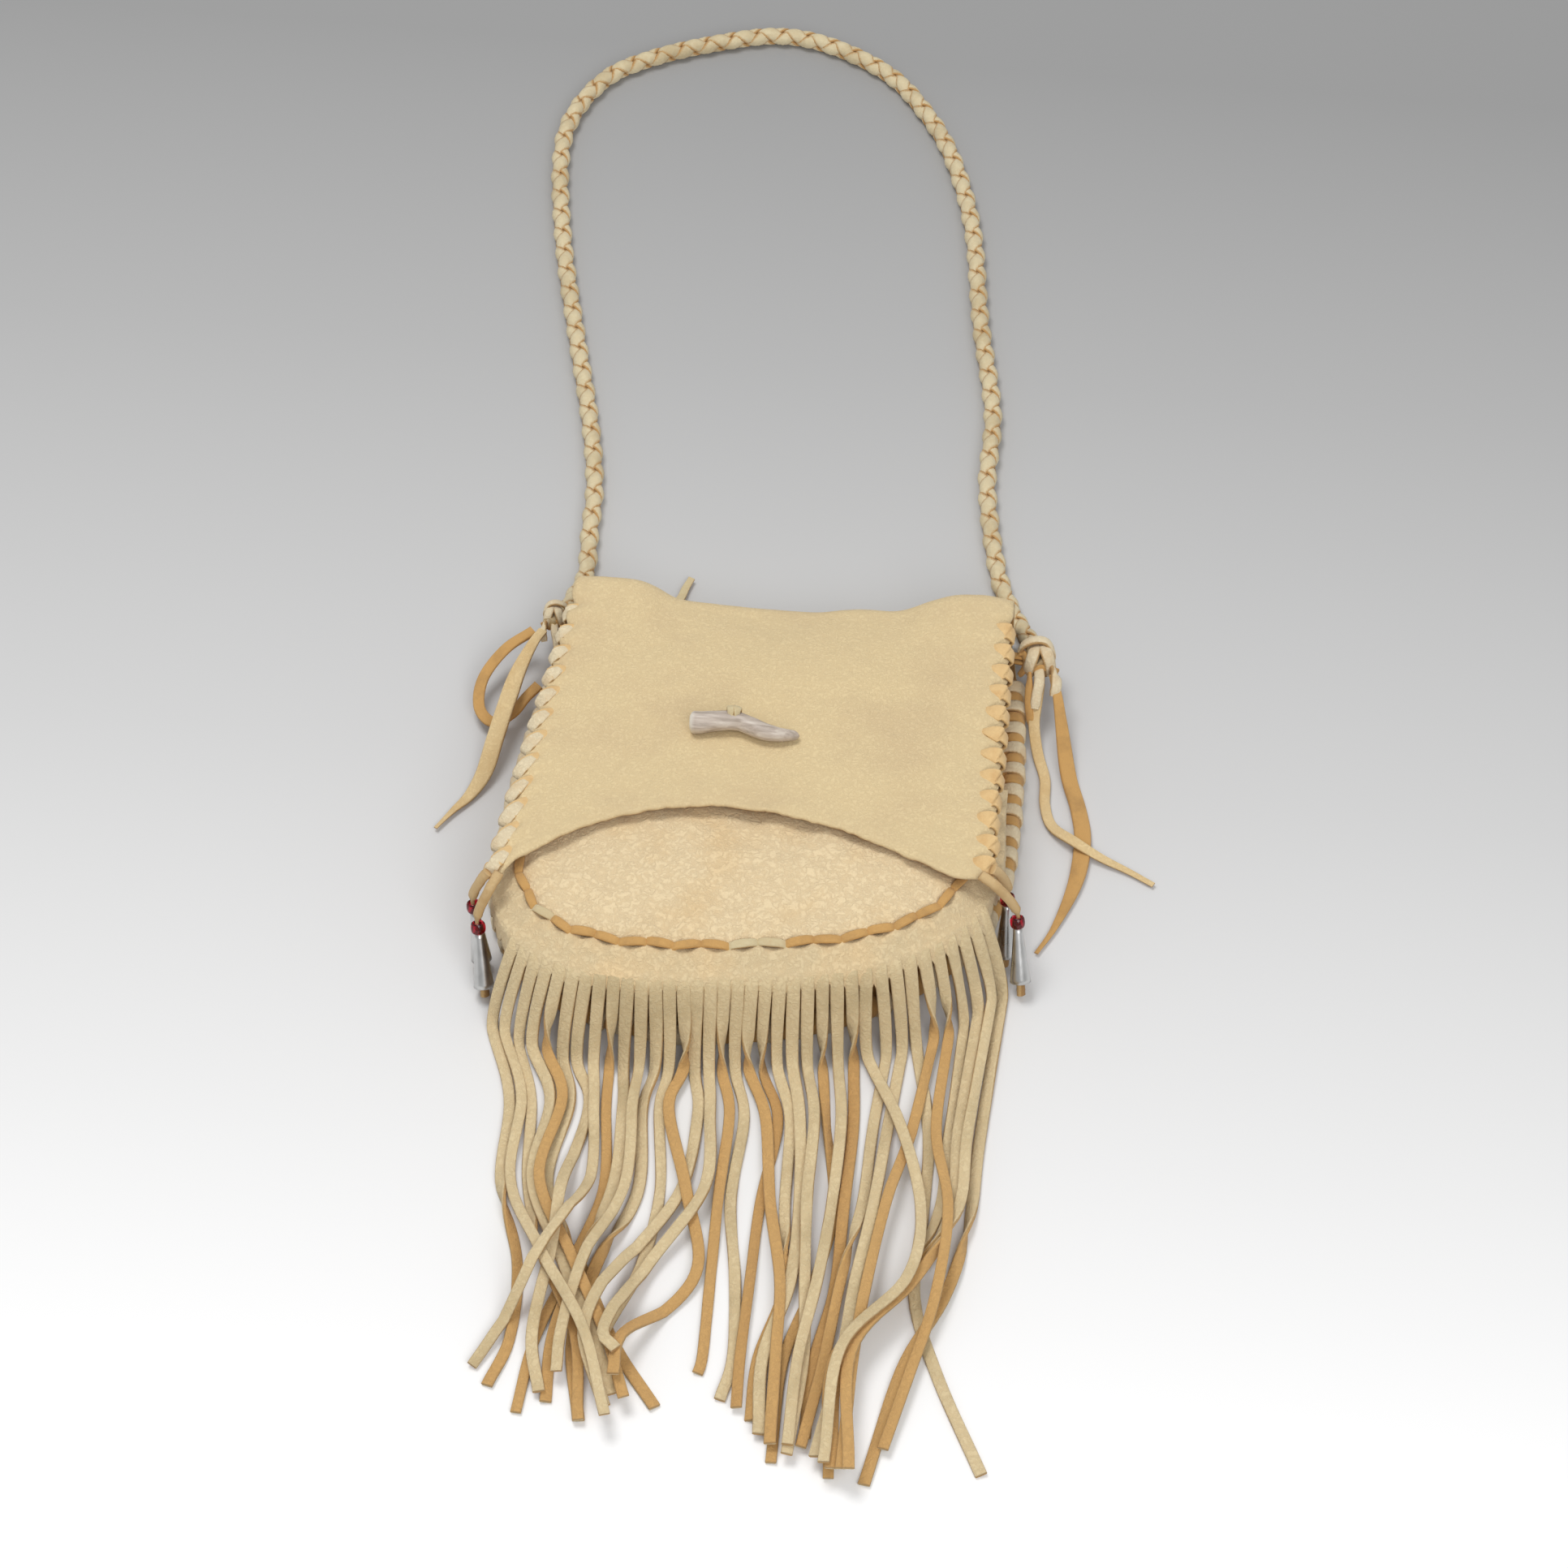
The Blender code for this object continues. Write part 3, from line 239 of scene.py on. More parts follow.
def leather(name, pale, cloud, suede, dark_suede, raw, mottle=22.0, crease=260.0, pore=1400.0,
            depth=0.00016, crease_shade_tint=0.10):
    mat, tree, shader = principled(name, 0.82, sheen=0.12, specular=0.25)
    grain = placed_group(tree, HIDE_GRAIN, Mottle_Size=mottle, Crease_Size=crease, Pore_Size=pore)
    nap = placed_group(tree, SUEDE_NAP)
    flesh = attribute_node(tree, "flesh")
    tone = attribute_node(tree, "tone")
    clouds = ramp_node(tree, grain.outputs["Mottle"], ((0.32, cloud), (0.52, pale), (0.74, pale)))
    # the creases are tinted towards the suede colour: partly the hide's own colour there, partly painted
    # shade in the creases
    crease_shade = math_node(tree, "MULTIPLY", grain.outputs["Creases"], crease_shade_tint)
    grain_side = mix_node(tree, crease_shade, clouds, suede)
    suede_side = mix_node(tree, nap.outputs["Tone"], dark_suede, suede)
    suede_side = mix_node(tree, tone, suede_side, dark_suede)
    ragged = math_node(tree, "MULTIPLY_ADD", nap.outputs["Height"], 0.5, flesh)
    to_raw = math_node(tree, "MULTIPLY", math_node(tree, "SUBTRACT", ragged, 0.42), 5.0)
    to_flesh = math_node(tree, "MULTIPLY", math_node(tree, "SUBTRACT", ragged, 0.86), 5.0)
    for node in (to_raw.node, to_flesh.node):
        node.use_clamp = True
    colour = mix_node(tree, to_raw, grain_side, raw)
    colour = mix_node(tree, to_flesh, colour, suede_side)
    tree.links.new(colour, shader.inputs["Base Color"])
    height = math_node(tree, "MULTIPLY_ADD", nap.outputs["Height"], 0.8, grain.outputs["Height"])
    bump = tree.nodes.new("ShaderNodeBump")
    bump.inputs["Strength"].default_value = 0.7
    bump.inputs["Distance"].default_value = depth
    tree.links.new(height, bump.inputs["Height"])
    tree.links.new(bump.outputs["Normal"], shader.inputs["Normal"])
    rough = math_node(tree, "MULTIPLY_ADD", grain.outputs["Mottle"], 0.18, 0.70)
    tree.links.new(rough, shader.inputs["Roughness"])
    return mat


CREAM = (0.770, 0.610, 0.350)
CREAM_CLOUD = (0.720, 0.560, 0.325)
PANEL = (0.880, 0.705, 0.440)
PANEL_CLOUD = (0.850, 0.640, 0.365)
STRAND = (0.745, 0.600, 0.360)
STRAND_CLOUD = (0.610, 0.485, 0.280)
ORANGE = (0.610, 0.330, 0.100)
BROWN = (0.300, 0.150, 0.050)
RAW = (0.560, 0.400, 0.180)
PALE_LACE = (0.640, 0.540, 0.330)

FLAP_HIDE = leather("flap_hide", CREAM, CREAM_CLOUD, ORANGE, BROWN, (0.690, 0.530, 0.300),
                    mottle=21.0, crease=520.0,
                    depth=0.00026, crease_shade_tint=0.09)
FRONT_HIDE = leather("front_hide", PANEL, PANEL_CLOUD, ORANGE, BROWN, RAW, mottle=24.0, crease=320.0,
                     depth=0.00055, crease_shade_tint=0.15)
BAND_HIDE = leather("band_hide", (0.770, 0.617, 0.376), PANEL_CLOUD, ORANGE, BROWN, RAW, mottle=30.0,
                    crease=380.0, depth=0.00048, crease_shade_tint=0.12)
SIDE_HIDE = leather("side_hide", STRAND_CLOUD, (0.34, 0.24, 0.12), ORANGE, BROWN, RAW)
FRINGE_HIDE = leather("fringe_hide", STRAND, STRAND_CLOUD, (0.720, 0.450, 0.175), (0.560, 0.320, 0.115),
                      (0.520, 0.330, 0.140),
                      mottle=30.0, crease=380.0, depth=0.00040, crease_shade_tint=0.14)
LACE_HIDE = leather("lace_hide", PALE_LACE, STRAND_CLOUD, ORANGE, BROWN, (0.46, 0.28, 0.11), mottle=60.0,
                    crease=420.0)
SUEDE_HIDE = leather("suede_hide", (0.620, 0.360, 0.125), (0.500, 0.290, 0.105), ORANGE, BROWN, ORANGE,
                     mottle=90.0, crease=900.0, pore=2200.0)
GOLD_HIDE = leather("gold_hide", (0.800, 0.610, 0.330), (0.740, 0.530, 0.260), ORANGE, BROWN,
                    (0.560, 0.360, 0.150),
                    mottle=40.0, crease=500.0, depth=0.00030)
WHIP_HIDE = leather("whip_hide", (0.780, 0.540, 0.260), (0.700, 0.450, 0.200), (0.720, 0.470, 0.200), BROWN,
                    (0.640, 0.420, 0.180), mottle=120.0, crease=600.0, depth=0.00016)
PALE_HIDE = leather("pale_hide", (0.820, 0.700, 0.480), (0.760, 0.600, 0.380), ORANGE, BROWN,
                    (0.520, 0.330, 0.140),
                    mottle=90.0, crease=500.0, depth=0.00030)
FUZZY_HIDE = leather("fuzzy_hide", (0.660, 0.470, 0.240), (0.560, 0.370, 0.170), (0.600, 0.370, 0.150), BROWN,
                     (0.600, 0.390, 0.170), mottle=90.0, crease=700.0, depth=0.00014)
BRAID_HIDE = leather("braid_hide", (0.700, 0.600, 0.390), (0.560, 0.460, 0.280), ORANGE, BROWN,
                     (0.50, 0.28, 0.10), mottle=50.0, crease=420.0)
print("leathers made:", [m.name for m in bpy.data.materials if m.name.endswith("_hide")])

# %% [markdown]
# ## Trim finishes
# The beads are clear deep red glass, the cones are rolled from tinplate that has dulled, and the
# tine is polished antler, whose grain runs along it in pinkish grey streaks.

# %% Glass, tin and antler
def make_red_glass():
    mat, tree, shader = principled("bead_glass", 0.04, specular=0.5)
    shader.inputs["Transmission Weight"].default_value = 1.0
    shader.inputs["IOR"].default_value = 1.5
    spot = tree.nodes.new("ShaderNodeTexCoord").outputs["Object"]
    swirl = noise_node(tree, spot, size=400.0, detail=2.0)
    colour = ramp_node(tree, swirl.outputs["Fac"],
                       ((0.35, (0.36, 0.004, 0.016)), (0.7, (0.52, 0.010, 0.030))))
    tree.links.new(colour, shader.inputs["Base Color"])
    return mat


def make_tin():
    mat, tree, shader = principled("dulled_tin", 0.3, specular=0.5)
    shader.inputs["Metallic"].default_value = 1.0
    spot = tree.nodes.new("ShaderNodeTexCoord").outputs["Object"]
    dull = noise_node(tree, spot, size=90.0, detail=3.0)
    fine = noise_node(tree, spot, size=2600.0, detail=2.0)
    colour = ramp_node(tree, dull.outputs["Fac"], ((0.35, (0.50, 0.50, 0.49)), (0.62, (0.66, 0.66, 0.65))))
    tree.links.new(colour, shader.inputs["Base Color"])
    rough = math_node(tree, "MULTIPLY_ADD", dull.outputs["Fac"], 0.35, 0.14)
    tree.links.new(rough, shader.inputs["Roughness"])
    bump = tree.nodes.new("ShaderNodeBump")
    bump.inputs["Strength"].default_value = 0.25
    bump.inputs["Distance"].default_value = 0.00004
    tree.links.new(fine.outputs["Fac"], bump.inputs["Height"])
    tree.links.new(bump.outputs["Normal"], shader.inputs["Normal"])
    return mat


def make_antler():
    mat, tree, shader = principled("rubbed_antler", 0.45, specular=0.45)
    spot = tree.nodes.new("ShaderNodeTexCoord").outputs["Object"]
    stretch = tree.nodes.new("ShaderNodeMapping")
    stretch.inputs["Scale"].default_value = (0.10, 1.0, 1.0)
    tree.links.new(spot, stretch.inputs["Vector"])
    streaks = noise_node(tree, stretch.outputs["Vector"], size=520.0, detail=4.0, roughness=0.6)
    patches = noise_node(tree, spot, size=130.0, detail=3.0)
    grey = ramp_node(tree, streaks.outputs["Fac"], ((0.34, (0.33, 0.27, 0.22)), (0.50, (0.50, 0.42, 0.36)),
                                                  (0.64, (0.66, 0.59, 0.51))))
    colour = mix_node(tree, math_node(tree, "MULTIPLY", patches.outputs["Fac"], 0.45),
                      grey, (0.58, 0.50, 0.42))
    colour = mix_node(tree, attribute_node(tree, "sawn"), colour, (0.80, 0.76, 0.68))
    tree.links.new(colour, shader.inputs["Base Color"])
    bump = tree.nodes.new("ShaderNodeBump")
    bump.inputs["Strength"].default_value = 0.5
    bump.inputs["Distance"].default_value = 0.00012
    tree.links.new(streaks.outputs["Fac"], bump.inputs["Height"])
    tree.links.new(bump.outputs["Normal"], shader.inputs["Normal"])
    return mat


GLASS = make_red_glass()
TIN_FINISH = make_tin()
ANTLER_FINISH = make_antler()
print("trim finishes:", GLASS.name, TIN_FINISH.name, ANTLER_FINISH.name)

# %% [markdown]
# ## The pouch's measures
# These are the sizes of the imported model, in metres. The pouch is drawn square, and settle() then
# slumps it to the side it came to rest on. Its two seams are U curves, read by the share of their
# length: 0 at the top left corner, round the bottom, 1 at the top right.

# %% Measures and seam curves
HIDE, GAP = 0.0018, 0.0003
TOP_Y, MOUTH_Y, WIDEST_Y = 0.112, 0.084, -0.020
BACK_HALF_TOP, BACK_HALF_WIDTH, BACK_BOTTOM_Y, BACK_ROUNDNESS = 0.0955, 0.1075, -0.1105, 2.2
FRONT_HALF_TOP, FRONT_HALF_WIDTH, FRONT_BOTTOM_Y, FRONT_ROUNDNESS = 0.0900, 0.1010, -0.0990, 2.9
SEAM_Z_TOP, SEAM_Z_BOTTOM, CROWN = 0.0222, 0.0430, 0.0040
SLUMP_TOP, SLUMP_RATE, TOP_SHIFT = 0.039, 0.39, 0.0035
SEAM_INSET, FRONT_INSET = 0.0048, 0.0057
BACK_MARGIN, BACK_FLANGE, FRONT_FLANGE, BACK_FLANGE_Z = 0.0160, 0.0088, 0.0112, 0.0047
UNDER_LACE = 0.0026
HINGE_Z, FOLD_RADIUS = 0.0225, 0.0090
FLAP_HALF_TOP, FLAP_HALF_BOTTOM, FLAP_CORNER_Y = 0.0955, 0.1035, -0.0630
FLAP_ARCH_Y, FLAP_ARCH_X, CROWN_REACH, FLAP_LIFT = -0.0235, -0.0120, 0.0600, 0.0073
FLAP_SLITS = 12


def settle(points):
    points = np.asarray(points, float)
    x, y, z = points[..., 0], points[..., 1], points[..., 2]
    shear = SLUMP_TOP + SLUMP_RATE * (TOP_Y - y)
    return np.stack((x + TOP_SHIFT * y / TOP_Y, y + x * shear, z), -1)


def u_outline(half_top, half_width, bottom_y, roundness):
    side_y = np.linspace(MOUTH_Y, WIDEST_Y, 150, endpoint=False)
    rise = (side_y - WIDEST_Y) / (TOP_Y - WIDEST_Y)
    side_x = half_width - (half_width - half_top) * rise ** 2
    turn = np.linspace(0, math.pi, 600)
    power = 2.0 / roundness
    bottom_x = -half_width * np.sign(np.cos(turn)) * np.abs(np.cos(turn)) ** power
    bottom = WIDEST_Y - (WIDEST_Y - bottom_y) * np.abs(np.sin(turn)) ** power
    left = np.column_stack((-side_x, side_y))
    right = np.column_stack((side_x, side_y))[::-1]
    return np.vstack((left, np.column_stack((bottom_x, bottom)), right))


class Seam:
    """A panel's outline, read by the share of its length, with its outward normal."""

    def __init__(self, points):
        self.points = points
        steps = np.linalg.norm(np.diff(points, axis=0), axis=1)
        self.along = np.concatenate(([0.0], np.cumsum(steps)))
        self.length = self.along[-1]

    def at(self, share):
        s = np.clip(share, 0.0, 1.0) * self.length
        return np.stack([np.interp(s, self.along, self.points[:, k]) for k in (0, 1)], -1)

    def normal(self, share):
        reach = 0.002 / self.length
        tangent = self.at(share + reach) - self.at(share - reach)
        tangent /= np.linalg.norm(tangent, axis=-1, keepdims=True)
        return np.stack((tangent[..., 1], -tangent[..., 0]), -1)

    def offset(self, share, outward):
        return self.at(share) + self.normal(share) * np.asarray(outward)[..., None]


BACK_SEAM = Seam(u_outline(BACK_HALF_TOP, BACK_HALF_WIDTH, BACK_BOTTOM_Y, BACK_ROUNDNESS))
FRONT_SEAM = Seam(u_outline(FRONT_HALF_TOP, FRONT_HALF_WIDTH, FRONT_BOTTOM_Y, FRONT_ROUNDNESS))
print("back seam", round(BACK_SEAM.length, 3), "m, front seam", round(FRONT_SEAM.length, 3), "m")

# %% Heights of the hides, and smooth routes
def seam_z(y):
    return SEAM_Z_TOP + (SEAM_Z_BOTTOM - SEAM_Z_TOP) * (TOP_Y - y) / (TOP_Y - FRONT_BOTTOM_Y)


def flap_half(y):
    return FLAP_HALF_TOP + (FLAP_HALF_BOTTOM - FLAP_HALF_TOP) * (TOP_Y - y) / (TOP_Y - FLAP_CORNER_Y)


def flap_arch(x):
    from_peak = x - FLAP_ARCH_X
    share = np.abs(from_peak) / (FLAP_HALF_BOTTOM - np.sign(from_peak) * FLAP_ARCH_X)
    return FLAP_ARCH_Y + (FLAP_CORNER_Y - FLAP_ARCH_Y) * np.minimum(1.0, share) ** 1.5


def flap_height(x, y):
    across = 1 - (x / FLAP_HALF_BOTTOM) ** 2
    return seam_z(y) + FLAP_LIFT + CROWN * across * np.minimum(1.0, (TOP_Y - y) / CROWN_REACH)


def flap_point(side, inset, y_nominal, rise=0.0):
    """A point on the flap's underside from its side edge, in from there, and down."""
    x = side * (flap_half(y_nominal) - inset)
    share = (TOP_Y - FOLD_RADIUS - y_nominal) / (TOP_Y - FOLD_RADIUS - FLAP_CORNER_Y)
    y = TOP_Y - FOLD_RADIUS - share * (TOP_Y - FOLD_RADIUS - seen_arch(x))
    return settle((x, y, flap_height(x, y) + rise))


def flap_slit_y(k):
    start = TOP_Y - FOLD_RADIUS - 0.004
    return start + (FLAP_CORNER_Y + 0.004 - start) * (k + 0.5) / FLAP_SLITS


def smooth_route(route, count):
    """Evenly spaced points on a Catmull-Rom curve through a route."""
    route = np.array(route, float)
    ends = np.vstack((2 * route[0] - route[1], route, 2 * route[-1] - route[-2]))
    fine = []
    for k in range(len(route) - 1):
        a, b, c, d = ends[k:k + 4]
        for t in np.linspace(0, 1, 24, endpoint=False):
            fine.append(0.5 * (2 * b + (c - a) * t + (2 * a - 5 * b + 4 * c - d) * t ** 2
                               + (3 * b - a - 3 * c + d) * t ** 3))
    fine = np.array(fine + [route[-1]])
    along = np.concatenate(([0.0], np.cumsum(np.linalg.norm(np.diff(fine, axis=0), axis=1))))
    wanted = np.linspace(0, along[-1], count)
    return np.column_stack([np.interp(wanted, along, fine[:, k]) for k in range(fine.shape[1])])


def ease(value, low, high):
    t = np.clip((np.asarray(value, float) - low) / (high - low), 0.0, 1.0)
    return t * t * (3 - 2 * t)


def unit(vector):
    vector = np.asarray(vector, float)
    return vector / np.linalg.norm(vector, axis=-1, keepdims=True)


def crumple(points, size, seed, octaves=4):
    """Soft seeded noise at points, for bends in a hide of about that size in metres."""
    flat = np.asarray(points, float).reshape(-1, 3) / size + seed * 7.31
    values = [noise.fractal(Vector(p), 0.9, 2.1, octaves) for p in flat]
    return np.array(values).reshape(np.asarray(points).shape[:-1])


print("front seam height at the bottom", round(float(seam_z(FRONT_BOTTOM_Y)), 4), "m")

# %% [markdown]
# ## The strap
# The strap is a round braid of four thongs. Two run round it one way and two the other, and each
# goes over the next and under the one after, which gives the diamonds. A tube with a bump could
# fake that, but the edge of each thong shows in the picture, so all four are made: a curved ribbon
# that rides out where it passes over and in where it passes under. It is a free cord, and it is
# made first.

# %% Strap: route and braid
STRAP = 0.0080
BRAID_TURN = 0.0254
BRAID_RADIUS = 0.00285
BRAID_WEAVE = 0.00075
RIBBON_WIDTH, RIBBON_THICK = 0.0068, 0.0019
BRAID_CORE = 0.0024
KNOT, KNOT_LENGTH = 0.0130, 0.0210
KNOT_LEFT = np.array((-0.1020, 0.0960, 0.0155))
KNOT_RIGHT = np.array((0.1125, 0.0930, 0.0155))
STRAP_ROUTE = (
    (-94, 120, 6.5), (-93, 132, 4), (-94.5, 158, 4), (-96, 186, 4), (-103, 224, 4), (-118, 284, 4),
    (-130, 335, 4), (-138.5, 388, 4), (-137, 420, 4), (-124, 448, 4), (-104, 464, 4), (-76, 477, 4),
    (-45, 486, 4), (-18, 482, 4), (11, 466, 4), (30, 444, 4), (47, 413, 4), (61, 366, 4),
    (70, 304, 4), (80, 248, 4), (81, 203, 4), (89, 156, 4), (97, 132, 4), (104, 119, 6.5),
)


def strap_line(count):
    route = [np.array(p) * MM for p in STRAP_ROUTE]
    for centre, end in ((KNOT_LEFT, 0), (KNOT_RIGHT, -1)):
        axis = unit(centre - route[end])
        top = centre - axis * KNOT_LENGTH / 2
        route[end] = top - axis * 1.5 * GAP
        route.insert(1 if end == 0 else len(route) - 1, top - axis * STRAP)
    points = smooth_route(route, count)
    points[:, 2] = np.maximum(points[:, 2], STRAP / 2)
    return points


def frames_along(points, up=(0.0, 0.0, 1.0)):
    """Tangent, side and over at each point, carried along without turning about the line."""
    tangent = unit(np.gradient(points, axis=0))
    side = [unit(np.cross(tangent[0], up))]
    for t in tangent[1:]:
        side.append(unit(side[-1] - t * (side[-1] @ t)))
    side = np.array(side)
    return tangent, side, np.cross(side, tangent)


strap_path = strap_line(720)


# %% Strap: the four ribbons
def mesh_piece(name, points, faces, finish, attributes=(), recalculate=True):
    """A smooth-shaded object at the origin, with named float attributes on its points."""
    mesh = bpy.data.meshes.new(name)
    mesh.from_pydata(np.asarray(points, float).tolist(), [], [list(f) for f in faces])
    for label, values in attributes:
        layer = mesh.attributes.new(label, "FLOAT", "POINT")
        layer.data.foreach_set("value", np.asarray(values, np.float32))
    if recalculate:
        work = bmesh.new()
        work.from_mesh(mesh)
        bmesh.ops.recalc_face_normals(work, faces=work.faces)
        work.to_mesh(mesh)
        work.free()
    mesh.materials.append(finish)
    mesh.shade_smooth()
    obj = bpy.data.objects.new(name, mesh)
    bpy.context.scene.collection.objects.link(obj)
    return obj


def ring_faces(rings, count, offset=0):
    faces = []
    for i in range(rings - 1):
        for j in range(count):
            a = offset + i * count + j
            b = offset + i * count + (j + 1) % count
            faces.append((a, b, b + count, a + count))
    faces.append([offset + j for j in range(count)][::-1])
    faces.append([offset + (rings - 1) * count + j for j in range(count)])
    return faces


def make_braid(path):
    tangent, side, over = frames_along(path)
    along = np.concatenate(([0.0], np.cumsum(np.linalg.norm(np.diff(path, axis=0), axis=1))))
    lead = math.atan(2 * math.pi * BRAID_RADIUS / BRAID_TURN)
    across = np.array((-0.5, -0.42, -0.2, 0.0, 0.2, 0.42, 0.5, 0.42, 0.2, 0.0, -0.2, -0.42)) * RIBBON_WIDTH
    height = np.array((-0.1, 0.22, 0.42, 0.5, 0.42, 0.22, -0.1,
                       -0.42, -0.5, -0.5, -0.5, -0.42)) * RIBBON_THICK
    flesh = np.array((0.45, 0.34, 0.0, 0.0, 0.0, 0.34, 0.45, 0.6, 0.6, 0.6, 0.6, 0.6))
    points, faces, values = [], [], []
    ends = ease(along, 0.0, 0.012) * ease(along[-1] - along, 0.0, 0.012)
    for way in (1, -1):
        for start in (0.0, math.pi):
            turn = way * 2 * math.pi * along / BRAID_TURN + start
            radius = BRAID_RADIUS + way * BRAID_WEAVE * np.cos(2 * turn)
            radius = radius * (0.78 + 0.22 * ends)
            angle = turn[:, None] + across[None] * math.cos(lead) / BRAID_RADIUS
            shift = -way * across[None] * math.sin(lead)
            reach = radius[:, None] + height[None]
            ring = (path[:, None] + tangent[:, None] * shift[..., None]
                    + (side[:, None] * np.cos(angle)[..., None]
                       + over[:, None] * np.sin(angle)[..., None]) * reach[..., None])
            faces += ring_faces(len(path), len(across), len(points) * len(path) * len(across))
            points.append(ring.reshape(-1, 3))
            values.append(np.tile(flesh, len(path)))
    around = np.linspace(0, 2 * math.pi, len(across), endpoint=False)
    ring = path[:, None] + BRAID_CORE * (side[:, None] * np.cos(around)[None, :, None]
                                         + over[:, None] * np.sin(around)[None, :, None])
    faces += ring_faces(len(path), len(across), len(points) * len(path) * len(across))
    points.append(ring.reshape(-1, 3))
    values.append(np.full(len(path) * len(across), 0.3))
    points = np.vstack(points)
    points[:, 2] = np.maximum(points[:, 2], 0.0002)
    return mesh_piece("strap_braid", points, faces, BRAID_HIDE, (("flesh", np.concatenate(values)),))


strap = make_braid(strap_path)
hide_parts("strap")
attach(strap, "pouch")
print("braid faces", len(strap.data.polygons))

# %% [markdown]
# ## A tree for every thong
# Laces, fringe strands, tails and ties are all the same thing: a flat thong that follows a line.
# One Geometry Nodes tree sweeps a rounded rectangle along each line. The line carries which way
# the grain side looks, how wide the thong is there, and its tone, and the profile hands its own
# side on, so that the finish knows grain from flesh even where the thong turns over.

# %% Thong tree
def make_thong_tree():
    tree = bpy.data.node_groups.new("thong_sweep", "GeometryNodeTree")
    face = tree.interface
    face.new_socket("Geometry", in_out="INPUT", socket_type="NodeSocketGeometry")
    for label in ("Width", "Thickness", "Rounding"):
        face.new_socket(label, in_out="INPUT", socket_type="NodeSocketFloat")
    face.new_socket("Finish", in_out="INPUT", socket_type="NodeSocketMaterial")
    face.new_socket("Geometry", in_out="OUTPUT", socket_type="NodeSocketGeometry")
    new, link = tree.nodes.new, tree.links.new
    given, out = new("NodeGroupInput"), new("NodeGroupOutput")
    curve = new("GeometryNodeMeshToCurve")
    link(given.outputs["Geometry"], curve.inputs["Mesh"])
    looks = new("GeometryNodeInputNamedAttribute")
    looks.data_type = "FLOAT_VECTOR"
    looks.inputs["Name"].default_value = "face_up"
    normal = new("GeometryNodeSetCurveNormal")
    normal.mode = "FREE"
    link(curve.outputs["Curve"], normal.inputs["Curve"])
    link(looks.outputs["Attribute"], normal.inputs["Normal"])
    profile = new("GeometryNodeCurvePrimitiveQuadrilateral")
    link(given.outputs["Thickness"], profile.inputs["Width"])
    link(given.outputs["Width"], profile.inputs["Height"])
    fillet = new("GeometryNodeFilletCurve")
    fillet.mode = "POLY"
    fillet.inputs["Count"].default_value = 2
    link(profile.outputs["Curve"], fillet.inputs["Curve"])
    link(math_node(tree, "MULTIPLY", given.outputs["Thickness"], given.outputs["Rounding"]),
         fillet.inputs["Radius"])
    apart = new("ShaderNodeSeparateXYZ")
    link(new("GeometryNodeInputPosition").outputs[0], apart.inputs[0])
    share = math_node(tree, "DIVIDE", apart.outputs["X"], given.outputs["Thickness"])
    side = math_node(tree, "SUBTRACT", 0.5, share)
    store = new("GeometryNodeStoreNamedAttribute")
    store.data_type = "FLOAT"
    store.domain = "POINT"
    store.inputs["Name"].default_value = "flesh"
    link(fillet.outputs["Curve"], store.inputs["Geometry"])
    link(side, store.inputs["Value"])
    swell = new("GeometryNodeInputNamedAttribute")
    swell.data_type = "FLOAT"
    swell.inputs["Name"].default_value = "swell"
    sweep = new("GeometryNodeCurveToMesh")
    sweep.inputs["Fill Caps"].default_value = True
    link(normal.outputs["Curve"], sweep.inputs["Curve"])
    link(store.outputs["Geometry"], sweep.inputs["Profile Curve"])
    link(swell.outputs["Attribute"], sweep.inputs["Scale"])
    smooth = new("GeometryNodeSetShadeSmooth")
    real = new("GeometryNodeRealizeInstances")
    finish = new("GeometryNodeSetMaterial")
    link(sweep.outputs["Mesh"], smooth.inputs["Geometry"])
    link(smooth.outputs[0], real.inputs[0])
    link(real.outputs[0], finish.inputs["Geometry"])
    link(given.outputs["Finish"], finish.inputs["Material"])
    link(finish.outputs[0], out.inputs["Geometry"])
    return tree


THONG_TREE = make_thong_tree()
THONG_INPUTS = {s.name: s.identifier for s in THONG_TREE.interface.items_tree if s.in_out == "INPUT"}


def line(points, up=(0.0, 0.0, 1.0), swell=1.0, tone=0.0, turn=0.0):
    """One thong's line: its points, the way its grain side looks, its width and its tone."""
    points = np.asarray(points, float)
    count = len(points)
    tangent = unit(np.gradient(points, axis=0))
    up = np.broadcast_to(np.asarray(up, float), points.shape)
    up = unit(up - tangent * np.sum(up * tangent, axis=1)[:, None])
    side = np.cross(tangent, up)
    turn = np.broadcast_to(np.asarray(turn, float), (count,))[:, None]
    looks = up * np.cos(turn) + side * np.sin(turn)
    return points, looks, np.broadcast_to(swell, (count,)), np.broadcast_to(tone, (count,))


# How far a thong's section is rounded off: a cut lace and a nearly round cord
ROUND, ROUNDEST = 0.45, 0.49


